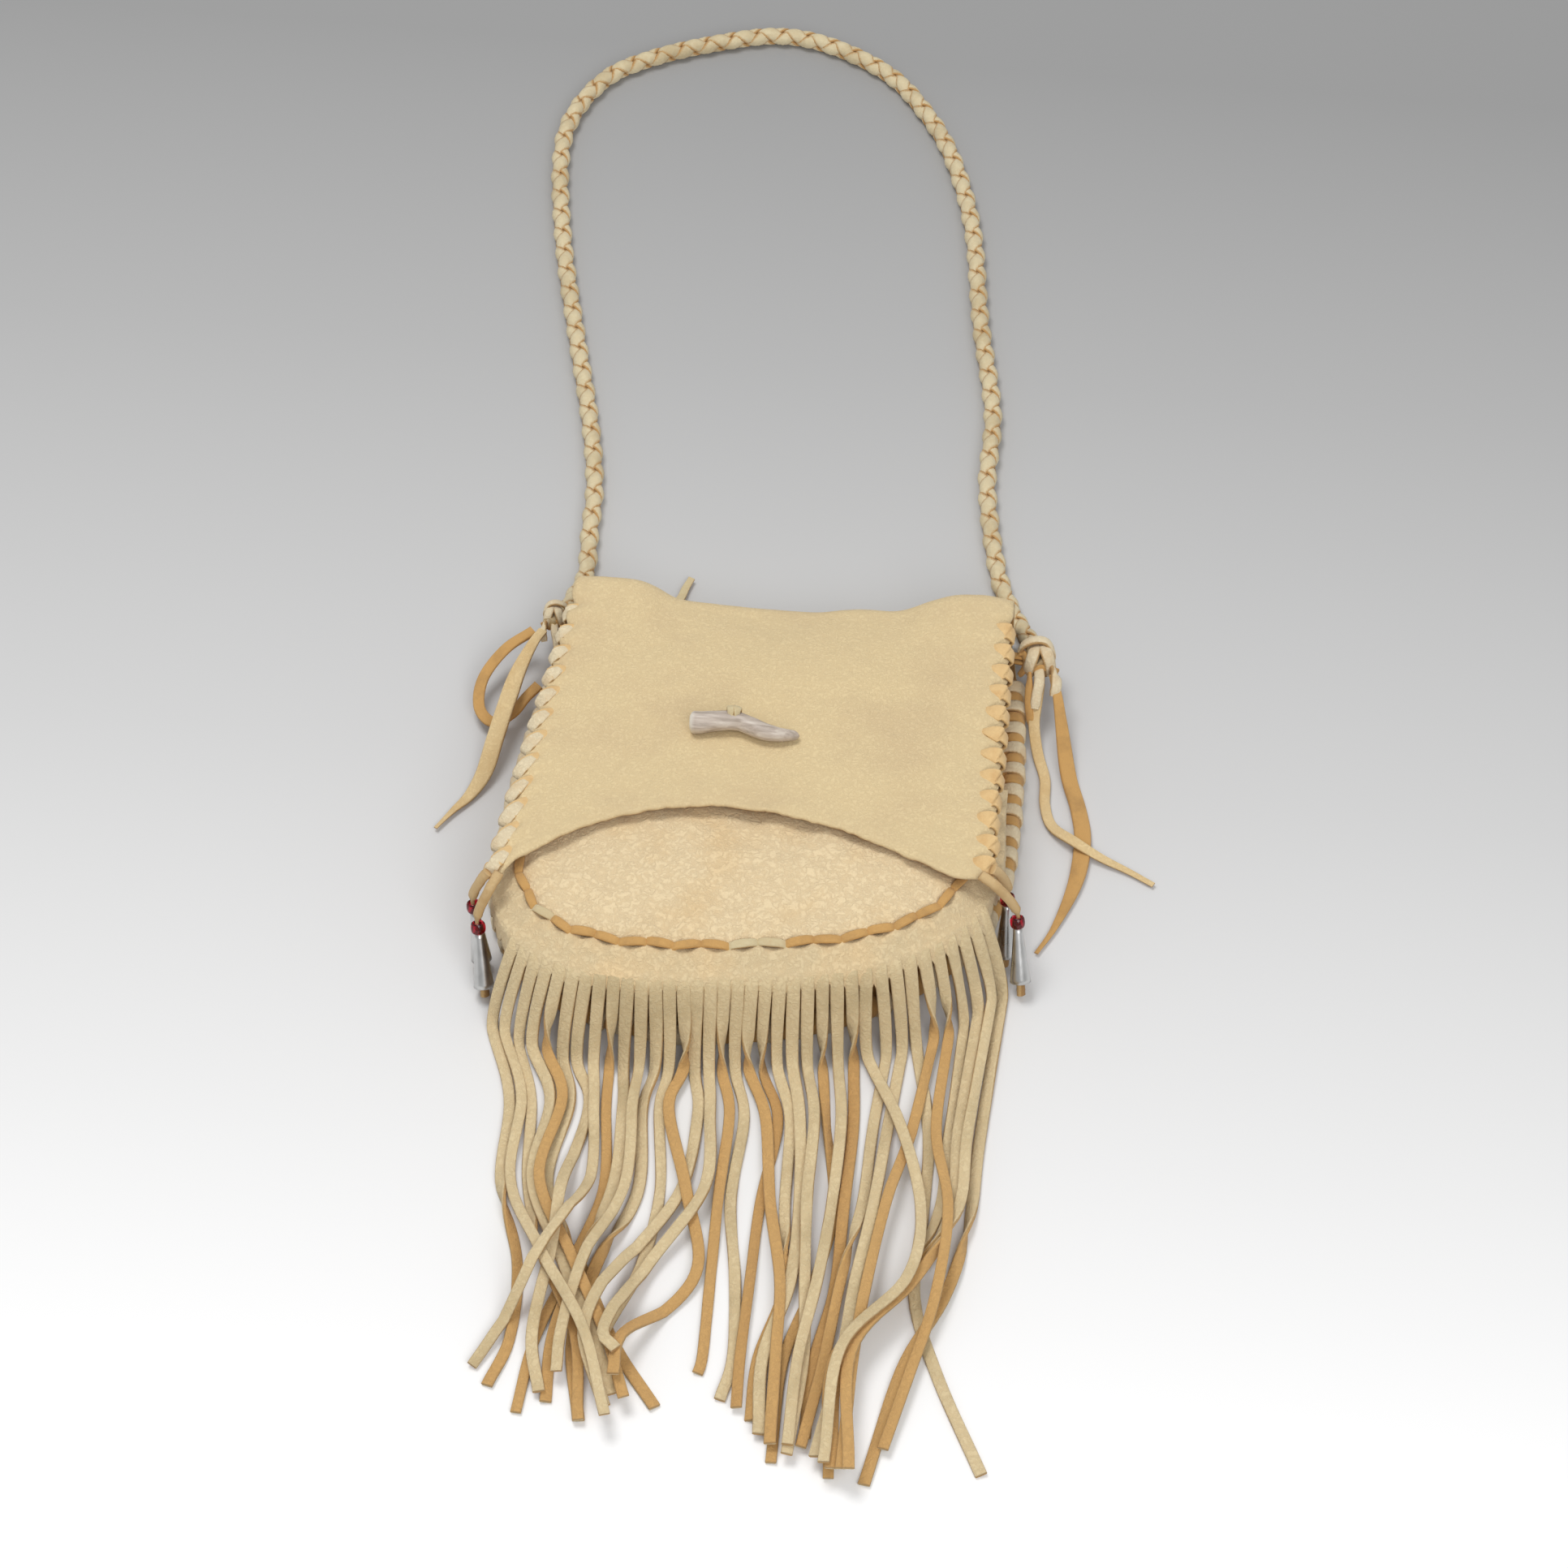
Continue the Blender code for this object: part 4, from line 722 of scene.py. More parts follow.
def thongs(name, lines, width, thick, finish, rounding=0.34):
    """Sweeps the lines with the thong tree into one plain mesh."""
    guide = bpy.data.meshes.new(name + "_lines")
    edges, start = [], 0
    for one in lines:
        edges += [(start + i, start + i + 1) for i in range(len(one[0]) - 1)]
        start += len(one[0])
    guide.from_pydata(np.vstack([one[0] for one in lines]).tolist(), edges, [])
    looks = guide.attributes.new("face_up", "FLOAT_VECTOR", "POINT")
    looks.data.foreach_set("vector", np.vstack([one[1] for one in lines]).astype(np.float32).ravel())
    for label, column in (("swell", 2), ("tone", 3)):
        layer = guide.attributes.new(label, "FLOAT", "POINT")
        layer.data.foreach_set("value", np.concatenate([one[column] for one in lines]).astype(np.float32))
    holder = bpy.data.objects.new(name + "_lines", guide)
    bpy.context.scene.collection.objects.link(holder)
    sweep = holder.modifiers.new("sweep", "NODES")
    sweep.node_group = THONG_TREE
    for label, value in (("Width", width), ("Thickness", thick), ("Rounding", rounding), ("Finish", finish)):
        sweep[THONG_INPUTS[label]] = value
    ready = bpy.context.evaluated_depsgraph_get()
    mesh = bpy.data.meshes.new_from_object(holder.evaluated_get(ready), preserve_all_data_layers=True,
                                           depsgraph=ready)
    bpy.data.objects.remove(holder, do_unlink=True)
    mesh.name = name
    for label in ("face_up", "swell"):
        mesh.attributes.remove(mesh.attributes[label])
    obj = bpy.data.objects.new(name, mesh)
    bpy.context.scene.collection.objects.link(obj)
    return obj


def put(obj, body, slot_name, *nodes):
    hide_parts(*nodes)
    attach(obj, body)
    print(obj.name, "has", len(obj.data.polygons), "faces")
    return obj


# %% [markdown]
# ## A hide as a sheet
# Every hide is 1.8 mm thick with a raw cut edge. The outer face comes as a grid of points. Its
# own normals carry it inwards by the thickness, and a rounded strip of points closes the edge.
# The attribute "flesh" goes from 0 outside to 1 inside, so the raw edge gets its own colour.

# %% Hide sheet
def grid_normals(grid):
    down = np.gradient(grid, axis=0)
    across = np.gradient(grid, axis=1)
    return unit(np.cross(down, across))


def hide_sheet(name, grid, finish, thick=HIDE, thickness_share=None):
    """grid holds the outer face, row by row, with its normals towards cross(down, across)."""
    rows, cols = grid.shape[:2]
    normals = grid_normals(grid)
    share = np.ones((rows, cols)) if thickness_share is None else thickness_share
    inner = grid - normals * thick * share[..., None]
    number = np.arange(rows * cols).reshape(rows, cols)
    top = [(number[i, j], number[i + 1, j], number[i + 1, j + 1], number[i, j + 1])
           for i in range(rows - 1) for j in range(cols - 1)]
    far = rows * cols
    faces = top + [tuple(far + v for v in reversed(face)) for face in top]
    rim = ([(0, j) for j in range(cols)] + [(i, cols - 1) for i in range(1, rows)]
           + [(rows - 1, j) for j in range(cols - 2, -1, -1)] + [(i, 0) for i in range(rows - 2, 0, -1)])
    middle = []
    for i, j in rim:
        ni, nj = min(max(i, 1), rows - 2), min(max(j, 1), cols - 2)
        outward = unit(grid[i, j] - grid[ni, nj])
        middle.append((grid[i, j] + inner[i, j]) / 2 + outward * thick * 0.28 * share[i, j])
    first = 2 * far
    for k in range(len(rim)):
        after = (k + 1) % len(rim)
        a, b = number[rim[k]], number[rim[after]]
        faces.append((a, b, first + after, first + k))
        faces.append((first + k, first + after, far + b, far + a))
    points = np.vstack((grid.reshape(-1, 3), inner.reshape(-1, 3), middle))
    flesh = np.concatenate((np.zeros(far), np.ones(far), np.full(len(rim), 0.42)))
    edge = np.zeros((rows, cols))
    edge[[0, -1], :] = 1
    edge[:, [0, -1]] = 1
    flesh[:far] += 0.16 * edge.ravel()
    return mesh_piece(name, points, faces, finish, (("flesh", flesh),))


# %% [markdown]
# ## Back and flap: one hide
# The back runs up over the top and comes down as the flap, all one hide, so it is one sheet here
# as well. It starts at the pouch's bottom, climbs the spine, bends over the fold and ends in the
# arch. The lacing pulls its sides into small puckers, and the fold's crest waves a little.

# %% Back and flap hide
def pucker(distance, phase, reach):
    """How much a laced edge is drawn in: most at a hole, least half way to the next."""
    return (0.5 + 0.5 * np.cos(2 * math.pi * phase)) * np.exp(-(distance / reach) ** 2)


def back_half(y):
    rise = (np.maximum(y, WIDEST_Y) - WIDEST_Y) / (TOP_Y - WIDEST_Y)
    upper = BACK_HALF_WIDTH - (BACK_HALF_WIDTH - BACK_HALF_TOP) * rise ** 2
    depth = np.clip((WIDEST_Y - y) / (WIDEST_Y - BACK_BOTTOM_Y), 0.0, 0.9985)
    lower = BACK_HALF_WIDTH * (1 - depth ** BACK_ROUNDNESS) ** (1 / BACK_ROUNDNESS)
    return np.where(y >= WIDEST_Y, upper, lower)


HIDE_COLUMNS = 111
LOOPS = 44
# How far the fold's crest stands above or below its mean line, across the pouch, in millimetres
CREST = ((-98, 2.8), (-84, 2.8), (-70, 2.2), (-61, 0.0), (-51, -3.8), (-36, -4.8), (-10, -5.6), (11, -6.2),
         (29, -4.6), (46, -4.0), (59, 0.0), (69, 2.6), (79, 3.4), (89, 2.7), (98, 1.5))


def back_rows():
    """Rows of the back's outer face, from the bottom to where it starts to climb."""
    turn = np.linspace(math.radians(86.5), 0, 44)
    low = WIDEST_Y - (WIDEST_Y - BACK_BOTTOM_Y) * np.sin(turn) ** (2 / BACK_ROUNDNESS)
    high = np.linspace(WIDEST_Y, TOP_Y - FOLD_RADIUS, 50)[1:]
    y = np.concatenate((low, high))[:, None]
    s = np.linspace(-1, 1, HIDE_COLUMNS)[None]
    x = s * back_half(y)
    flat = np.stack(np.broadcast_arrays(x, y), -1).reshape(-1, 2)
    near = np.array([np.min(np.hypot(*(BACK_SEAM.points[::4] - p).T)) for p in flat])
    place = np.array([np.argmin(np.hypot(*(BACK_SEAM.points[::4] - p).T)) * 4 for p in flat])
    phase = BACK_SEAM.along[place] / BACK_SEAM.length * LOOPS - 0.5
    lift = UNDER_LACE * (1 - ease(near, SEAM_INSET, BACK_MARGIN))
    z = (lift - 0.0003 * pucker(near, phase, 0.004)).reshape(x.shape)
    draw = (0.0009 * pucker(near, phase, 0.003)).reshape(x.shape)
    return np.stack((x - np.sign(x) * draw, y + 0 * x, np.maximum(z, 0.0)), -1)


def spine_rows():
    """The quarter turn up from the table, the spine, and the fold over to the flap."""
    s = np.linspace(-1, 1, HIDE_COLUMNS)
    x = s * FLAP_HALF_TOP
    rows = []
    for a in np.radians((15, 30, 45, 60, 75, 90)):
        rows.append((x, TOP_Y - FOLD_RADIUS * (1 - math.sin(a)) + 0 * x,
                     FOLD_RADIUS * (1 - math.cos(a)) + 0 * x))
    for z in np.linspace(FOLD_RADIUS, HINGE_Z, 8)[1:]:
        rows.append((x, TOP_Y + 0 * x, z + 0 * x))
    rise = flap_height(x, TOP_Y - FOLD_RADIUS) + HIDE - HINGE_Z
    for a in np.radians((15, 30, 45, 60, 75)):
        rows.append((x, TOP_Y - FOLD_RADIUS * (1 - math.cos(a)) + 0 * x, HINGE_Z + rise * math.sin(a)))
    return np.array(rows).transpose(0, 2, 1)


# How far the arched edge lies above its plain curve, across the flap, in millimetres
ARCH_SWAY = ((-103, 0), (-94, 5.5), (-84, 7.1), (-73.7, 8.5), (-63, 8.9), (-52.5, 7.1), (-42, 4.9),
             (-31, 3.1),
             (-20.8, 1.4), (-10, -0.8), (0, -1.6), (11, -1.1), (32, -0.8), (43, -1.5), (53, -3.0), (64, -4.0),
             (74.5, -4.9), (85, -5.8), (93, -4.5), (101, 0))


def seen_arch(x):
    sway = np.array(ARCH_SWAY, float) * MM
    return flap_arch(x) + np.interp(x, sway[:, 0], sway[:, 1])


def flap_rows():
    """The flap's top face from the fold to the arch, with puckered and gently waved sides."""
    nominal = np.linspace(TOP_Y - FOLD_RADIUS, FLAP_CORNER_Y, 104)[:, None]
    s = np.linspace(-1, 1, HIDE_COLUMNS)[None]
    half = flap_half(nominal)
    x = s * half
    share = (TOP_Y - FOLD_RADIUS - nominal) / (TOP_Y - FOLD_RADIUS - FLAP_CORNER_Y)
    y = TOP_Y - FOLD_RADIUS - share * (TOP_Y - FOLD_RADIUS - seen_arch(x))
    z = flap_height(x, y) + HIDE
    pitch = flap_slit_y(0) - flap_slit_y(1)
    phase = (flap_slit_y(0) - nominal) / pitch
    inside = (1 - np.abs(s)) * half
    fade = ease(share, 0.0, 0.06)
    drawn = pucker(inside, phase, 0.0045) * fade
    ridge = pucker(inside - 0.004, phase + 0.5, 0.006) * fade
    x = x - np.sign(s) * 0.0020 * drawn
    z = z - 0.0013 * drawn + 0.0011 * ridge
    z = z - 0.0012 * np.exp(-(inside / 0.004) ** 2) * fade
    z = z + 0.0009 * np.exp(-((y - seen_arch(x)) / 0.011) ** 2) * ease(inside, 0.0, 0.030)
    grid = np.stack(np.broadcast_arrays(x, y, z), -1)
    grid[-1, :, 1] += 0.0006 * crumple(grid[-1], 0.0035, 21, 3)
    return grid


def make_back_and_flap():
    grid = np.concatenate((back_rows(), spine_rows(), flap_rows()))
    base = settle(grid)
    flap_part = ease(grid[..., 2], 0.020, 0.030)
    broad = crumple(base * (1.0, 1.0, 0.4), 0.055, 3, 3)
    small = crumple(base, 0.016, 8, 3)
    rest = 0.0013 * broad + 0.00035 * small
    base[..., 2] += rest * flap_part
    crest = np.exp(-((grid[..., 1] - TOP_Y) / 0.030) ** 2) * ease(grid[..., 2], 0.010, 0.030)
    bends = smooth_route(CREST, 200)
    wave = np.interp(grid[..., 0], bends[:, 0] * MM, bends[:, 1] * MM)
    base[..., 2] += wave * crest
    base[..., 1] += 0.8 * wave * crest
    hem = ease(grid[..., 2], 0.028, 0.032) * np.exp(-np.abs(grid[..., 1] - seen_arch(grid[..., 0])) / 0.004)
    base[..., 2] += 0.0009 * hem * crumple(base, 0.009, 21, 2)
    base[..., 1] += 0.0008 * hem * crumple(base, 0.007, 33, 2)
    return hide_sheet("back_and_flap_hide", base, FLAP_HIDE)


back_and_flap = make_back_and_flap()
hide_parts("back_panel", "flap")
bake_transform(back_and_flap)
print("back and flap faces", len(back_and_flap.data.polygons))

# %% [markdown]
# ## The front hide
# The front is the softest piece: it puffs up behind the lacing and is crumpled all over, most
# near the seam that gathers it. Its rows run across the pouch from the mouth to the bottom seam.

# %% Front hide
STITCHES = 44


def seam_distance(seam, flat, step=3):
    """Distance of flat points to a seam, and the share of the seam that is nearest."""
    spots = seam.points[::step]
    shares = seam.along[::step] / seam.length
    near, place = [], []
    for p in flat.reshape(-1, 2):
        d = np.hypot(spots[:, 0] - p[0], spots[:, 1] - p[1])
        best = int(np.argmin(d))
        near.append(d[best])
        place.append(shares[best])
    return np.array(near).reshape(flat.shape[:-1]), np.array(place).reshape(flat.shape[:-1])


def front_half(y, inset):
    rise = (np.maximum(y, WIDEST_Y) - WIDEST_Y) / (TOP_Y - WIDEST_Y)
    upper = FRONT_HALF_WIDTH - (FRONT_HALF_WIDTH - FRONT_HALF_TOP) * rise ** 2
    depth = np.clip((WIDEST_Y - y) / (WIDEST_Y - FRONT_BOTTOM_Y - inset), 0.0, 0.9992)
    lower = FRONT_HALF_WIDTH * (1 - depth ** FRONT_ROUNDNESS) ** (1 / FRONT_ROUNDNESS)
    return np.where(y >= WIDEST_Y, upper, lower) - inset


def make_front():
    inset = FRONT_INSET - 0.0002
    turn = np.linspace(0, math.radians(87.5), 62)
    low = WIDEST_Y - (WIDEST_Y - FRONT_BOTTOM_Y - inset) * np.sin(turn) ** (2 / FRONT_ROUNDNESS)
    high = np.linspace(MOUTH_Y, WIDEST_Y, 44, endpoint=False)
    y = np.concatenate((high, low))[:, None]
    s = np.linspace(-1, 1, 121)[None]
    x = s * front_half(y, inset)
    flat = np.stack(np.broadcast_arrays(x, y), -1)
    near, place = seam_distance(FRONT_SEAM, flat)
    inside = np.maximum(near - FRONT_INSET, 0.0)
    phase = place * STITCHES - 0.5
    z = seam_z(y) + HIDE + 0.0024 * (1 - np.exp(-inside / 0.0045)) + CROWN * 0.8 * ease(inside, 0.0, 0.040)
    z = (z - 0.0005 * np.exp(-(inside / 0.0016) ** 2) - 0.0010 * pucker(inside, phase, 0.0045)
         + 0.0006 * pucker(inside - 0.004, phase + 0.5, 0.005))
    grid = settle(np.stack(np.broadcast_arrays(x, y, z), -1))
    soft = ease(inside, 0.0, 0.008)
    under_flap = ease(y, -0.030, 0.0)
    grid[..., 2] += (soft * (0.0016 * crumple(grid, 0.030, 5, 3) + 0.0007 * crumple(grid, 0.011, 6, 4))
                     * (1 - 0.7 * under_flap))
    return hide_sheet("front_hide_sheet", grid, FRONT_HIDE)


front = put(make_front(), "pouch", "front_skin", "front_panel")

# %% [markdown]
# ## The gusset
# Between front and back runs the side strip. Its edges are turned outward and laced to its
# neighbours. It hangs a little between them, so its profile is a smooth curve and not a plate.

# %% Gusset
def make_gusset():
    stations = np.linspace(0, 1, 190)
    profile = ((0, 0.0), (0, -0.0040), (0, -BACK_FLANGE), (0.35, -0.0112), (0.7, -0.0120),
               (1, -FRONT_FLANGE), (1, -0.0070), (1, 0.0))
    rows = []
    for on_front, outward in profile:
        back_xy = BACK_SEAM.offset(stations, outward)
        front_xy = FRONT_SEAM.offset(stations, outward)
        xy = back_xy * (1 - on_front) + front_xy * on_front
        front_z = seam_z(front_xy[:, 1]) - 2 * GAP - HIDE - HIDE
        z = (BACK_FLANGE_Z + HIDE) * (1 - on_front) + front_z * on_front
        rows.append(np.column_stack((xy, z)))
    rows = np.array(rows)
    lines = np.array([smooth_route(rows[:, k], 16) for k in range(len(stations))])
    grid = settle(lines)
    sag = ease(np.linspace(0, 1, 16), 0.15, 0.5) * (1 - ease(np.linspace(0, 1, 16), 0.5, 0.85))
    normal = grid_normals(grid)
    grid = grid + normal * (0.0014 * crumple(grid, 0.020, 11, 3) * sag[None])[..., None]
    return hide_sheet("gusset_hide_strip", grid[:, ::-1], SIDE_HIDE)


put(make_gusset(), "pouch", "buckskin", "gusset")

# %% [markdown]
# ## The fringe
# One strip is laced into the front seam and cut into 36 strands. Each strand falls off the seam
# to the table and then lies where the picture shows it, over or under its neighbours. A height
# map of the table remembers how high the strands already laid reach, and each new one rests on
# them. Many have turned over, and then show their orange flesh side.

# %% Fringe: where the strands lie
BAND_OUT, BAND_DROP, FOOT_OUT, STRAND_WIDTH, CUT = 0.0080, 0.0030, 0.0225, 0.0046, 0.0009
SLITS, FIRST_FRINGED, LAST_FRINGED = 31, 10, 21
CELL = 0.0005
PLAN_STEPS, FALL_STEPS = 46, 12
FRINGE_Y = (-0.149, -0.189, -0.227, -0.262)
# Each strand: its x in millimetres at those four heights, where it ends, and its turn to be laid
STRANDS = (
    (-88, -86, -74, -72, -78, -285, 0), (-83, -82, -65, -43, -29, -300, 2),
    (-79, -75, -63, -46, -40, -298, 1), (-71, -73, -56, -39, -28, -286, 1),
    (-66, -70, -52, -34, -23, -289, 1), (-63, -67, -48, -30, -11, -288, 0),
    (-55, -60, -60, -63, -57, -287, 1), (-53, -50, -63, -78, -85, -277, 3),
    (-48, -44, -52, -62, -65, -296, 0), (-41, -40, -48, -55, -54, -290, 0),
    (-37, -35, -46, -51, -51, -279, 1), (-33, -30, -42, -47, -40, -297, 0),
    (-26, -21, -25, -36, -33, -281, 0),
    (-22, -10, -2, -26, -28, -282, 2), (-10, -13, -32, -42, -30, -294, 1),
    (-5, -3, -22, -34, -28, -272, 2),
    (3, 3, 4, 5, 4, -271, 1), (9, 8, 14, 17, 14, -282, 0),
    (18, 24, 32, 34, 36, -302, 2),
    (23, 20, 20, 20, 21, -286, 0), (28, 30, 34, 27, 27, -290, 0),
    (32, 36, 36, 29, 31, -297, 1), (38, 39, 42, 45, 43, -306, 1),
    (43, 50, 45, 37, 37, -308, 0), (49, 49, 47, 43, 43, -303, 2),
    (54, 54, 54, 49, 49, -296, 0), (73, 85, 83, 60, 58, -312, 3),
    (62, 61, 56, 53, 48, -301, 0), (68, 66, 62, 60, 54, -307, 1),
    (85, 86, 86, 98, 119, -305, 0), (78, 71, 67, 65, 65, -314, 2),
    (88, 96, 95, 88, 80, -299, 3), (93, 92, 79, 57, 60, -313, 0),
    (97, 97, 81, 60, 61, -313, 1), (101, 100, 85, 64, 68, -315, 2),
    (106, 105, 98, 84, 74, -314, 0),
)
# P shows its grain side all the way, O turns over as it falls, B as well and is brown, and
# X turns over half way down.
SHOWS = "XPXPOXPPOXPXPOPPOPOBXPPOPBPXPPOOXXXX"


class HeightMap:
    """How high the strands already laid reach above each spot of the table."""

    def __init__(self):
        self.low = np.array((-0.20, -0.36))
        self.height = np.zeros((800, 640))

    def cells(self, a, b, width):
        along = b[:2] - a[:2]
        length = np.linalg.norm(along)
        side = np.array((-along[1], along[0])) / length
        reach = width / 2 + GAP
        t = np.linspace(0, 1, max(2, int(length / CELL * 1.5)))
        w = np.linspace(-reach, reach, int(2 * reach / CELL * 1.5))
        spots = (a[:2] + t[:, None, None] * along + w[None, :, None] * side).reshape(-1, 2)
        cell = ((spots - self.low) / CELL).astype(int)
        return cell[:, 0], cell[:, 1], np.repeat(t, len(w))

    def under(self, a, b, width):
        x, y, _ = self.cells(a, b, width)
        return self.height[x, y].max()

    def lay(self, a, b, width, z_a, z_b):
        x, y, t = self.cells(a, b, width)
        np.maximum.at(self.height, (x, y), z_a + (z_b - z_a) * t)


def strand_starts():
    """Middle and fall direction of each strand where the band ends."""
    cut = CUT / FRONT_SEAM.length
    pitch = 1.0 / SLITS
    width = (pitch - 3 * cut) / 3
    starts, falls = [], []
    for k in range(FIRST_FRINGED, LAST_FRINGED + 1):
        first = (k + 0.5) * pitch - pitch / 2 + cut / 2
        for strand in range(3):
            ends = np.array((first + strand * (width + cut), first + strand * (width + cut) + width))
            xy = FRONT_SEAM.offset(ends, BAND_OUT)
            z = seam_z(FRONT_SEAM.at(ends)[:, 1]) - GAP - HIDE / 2 - BAND_DROP
            spots = settle(np.column_stack((xy, z)))
            run = spots[1] - spots[0]
            starts.append(spots.mean(axis=0))
            falls.append(unit(unit(np.array((run[1], -run[0]))) + (0.0, -1.0)))
    return np.array(starts), np.array(falls)


def strand_lines():
    table = HeightMap()
    starts, falls = strand_starts()
    lines = {}
    for k in sorted(range(len(STRANDS)), key=lambda n: (STRANDS[n][6], n)):
        x1, x2, x3, x4, end_x, end_y, _ = STRANDS[k]
        start, fall = starts[k], falls[k]
        foot = start[:2] + fall * FOOT_OUT
        route = [foot] + [np.array((x * MM, y)) for x, y in zip((x1, x2, x3, x4), FRINGE_Y)]
        route.append(np.array((end_x * MM, end_y * MM)))
        plan = smooth_route(route, PLAN_STEPS + 1)
        needed = [table.under(a, b, STRAND_WIDTH) for a, b in zip(plan, plan[1:])]
        needed = np.array([n + GAP if n > 0 else 0.0 for n in needed])
        high = np.array([needed[max(i - 4, 0):i + 4].max() for i in range(PLAN_STEPS + 1)])
        padded = np.pad(high, 3, mode="edge")
        high = np.convolve(padded, np.ones(7) / 7, mode="valid") + HIDE / 2 + 0.0001
        for i in range(PLAN_STEPS):
            table.lay(plan[i], plan[i + 1], STRAND_WIDTH, high[i] + HIDE / 2, high[i + 1] + HIDE / 2)
        ground = np.column_stack((plan, high))
        t = np.linspace(0, 1, FALL_STEPS, endpoint=False)[:, None]
        leave = np.array((*fall * 0.020, -0.016))
        land = unit(ground[1] - ground[0]) * 0.026
        drop = ((2 * t ** 3 - 3 * t ** 2 + 1) * start + (t ** 3 - 2 * t ** 2 + t) * leave
                + (-2 * t ** 3 + 3 * t ** 2) * ground[0] + (t ** 3 - t ** 2) * land)
        lines[k] = np.vstack((drop, ground))
    return [lines[k] for k in range(len(STRANDS))], falls


strand_paths, strand_falls = strand_lines()
highest = max(path[FALL_STEPS:, 2].max() for path in strand_paths)
print("strands", len(strand_paths), "highest point", round(highest, 4), "m")


# %% Fringe: the strands
def make_strands():
    lines = []
    for k, path in enumerate(strand_paths):
        share = np.linspace(0, 1, len(path))
        wave = np.array([noise.noise(Vector((s * 9.0, k * 3.7, 0.5))) for s in share])
        own = noise.noise(Vector((k * 7.7, 1.3, 2.9)))
        turn = (0.62 * wave * ease(share, 0.03, 0.14)
                + 0.7 * own * ease(share, 0.04, 0.12) * (1 - ease(share, 0.3, 0.5)))
        tone = 0.75 if SHOWS[k] == "B" else 0.1
        if SHOWS[k] in "OB":
            turn = turn + math.pi * ease(share, 0.06, 0.24) * (1 if k % 2 else -1)
        if SHOWS[k] == "X":
            turned = math.pi * ease(share, 0.52, 0.70)
            turn = turn + turned
            path = path + np.column_stack((0 * share, 0 * share, 0.0016 * np.sin(turned)))
        swell = 1.22 - 0.19 * ease(share, 0.03, 0.22)
        swell = swell * (1 + 0.06 * wave) * (1 + 0.16 * own * ease(share, 0, 0.1))
        path = path.copy()
        inside = path[0] - np.array((*strand_falls[k], 0.0)) * 0.003
        path[:, 2] -= 0.0004 * (1 - ease(share, 0.0, 0.05))
        path = np.vstack((inside - (0, 0, 0.0006), path))
        turn, swell = [np.concatenate(([v[0]], v)) for v in (turn, swell)]
        lines.append(line(path, (0, 0, 1), swell, tone, turn))
    return thongs("fringe_strands", lines, STRAND_WIDTH, HIDE, FRINGE_HIDE)


strands = make_strands()


# %% Fringe: the band that the strands hang from
def cut_path(which):
    """The line that a place on the band follows past its edge: a strand, or for the sides a short fall."""
    if which < 0 or which >= len(strand_paths):
        near = strand_paths[0] if which < 0 else strand_paths[-1]
        return near[:1] + (near[:14] - near[:1]) * (0.25, 0.25, 0.6)
    return strand_paths[which][:14]


PER_STRAND, SIDE_COLUMNS, SEAT_ROWS, CUT_ROWS = 8, 12, 9, 7


def make_band():
    """From under the lace out over the seam and down to the first cuts."""
    rows = SEAT_ROWS + CUT_ROWS
    count = len(strand_paths)
    columns = np.arange(-SIDE_COLUMNS * PER_STRAND, (count + SIDE_COLUMNS) * PER_STRAND + 1) / PER_STRAND
    shares = (FIRST_FRINGED + columns / 3) / SLITS
    past = np.maximum(np.maximum(-columns, columns - count), 0.0) / SIDE_COLUMNS
    lengths = [0.0040 + 0.0075 * abs(noise.noise(Vector((n * 1.9, 4.2, 0.0)))) for n in range(count + 1)]
    grid = np.zeros((rows, len(columns), 3))
    thin = np.ones((rows, len(columns)))
    edge_out = BAND_OUT - 0.0045 * ease(past, 0.0, 0.9)
    for i, t in enumerate(np.linspace(0, 1, SEAT_ROWS)):
        out = -FRONT_INSET + 0.0002 + (edge_out + FRONT_INSET - 0.0002) * t
        xy = FRONT_SEAM.offset(shares, out)
        seat = seam_z(FRONT_SEAM.offset(shares, np.minimum(out, 0.0))[:, 1])
        drop = (GAP + BAND_DROP) * ease(t, 0.1, 1.0) - HIDE * (1 - ease(t, 0.0, 1.0))
        phase = shares * STITCHES - 0.5
        ripple = 0.0007 * np.cos(2 * math.pi * phase) * np.exp(-(t * 13 / 6) ** 2)
        ripple = ripple + 0.0005 * np.exp(-(t * 13 / 2) ** 2)
        grid[i] = settle(np.column_stack((xy, seat - drop - ripple)))
    centre = columns - 0.5
    low = np.floor(centre).astype(int)
    for j in range(len(columns)):
        c = abs((columns[j] % 1.0) * 2 - 1)
        cut = lengths[int(np.clip(round(columns[j]), 0, count))]
        reach = (cut + 0.0045 * (1 - c ** 3)) * (1 - past[j])
        blend = centre[j] - low[j]
        lines = [cut_path(low[j]), cut_path(low[j] + 1)]
        for n in range(CUT_ROWS):
            part = (n + 1) / CUT_ROWS
            spots = []
            for path in lines:
                along = np.concatenate(([0.0], np.cumsum(np.linalg.norm(np.diff(path, axis=0), axis=1))))
                far = reach * part + 0.0002 * part
                spots.append([np.interp(far, along, path[:, axis]) for axis in range(3)] - path[0])
            thin[SEAT_ROWS + n, j] = 1 - 0.55 * ease(part, 0.5, 1.0)
            grid[SEAT_ROWS + n, j] = grid[SEAT_ROWS - 1, j] + spots[0] * (1 - blend) + spots[1] * blend
    grid[SEAT_ROWS:, :, 2] -= 0.0004 * (1 - thin[SEAT_ROWS:])
    grid[:, :, 2] += 0.0005 * crumple(grid, 0.008, 14, 3)
    return hide_sheet("fringe_band", grid, BAND_HIDE, HIDE, thin)


band = make_band()
put(strands, "pouch", "fringe_skin", "fringe")
put(band, "pouch", "fringe_skin", "fringe")

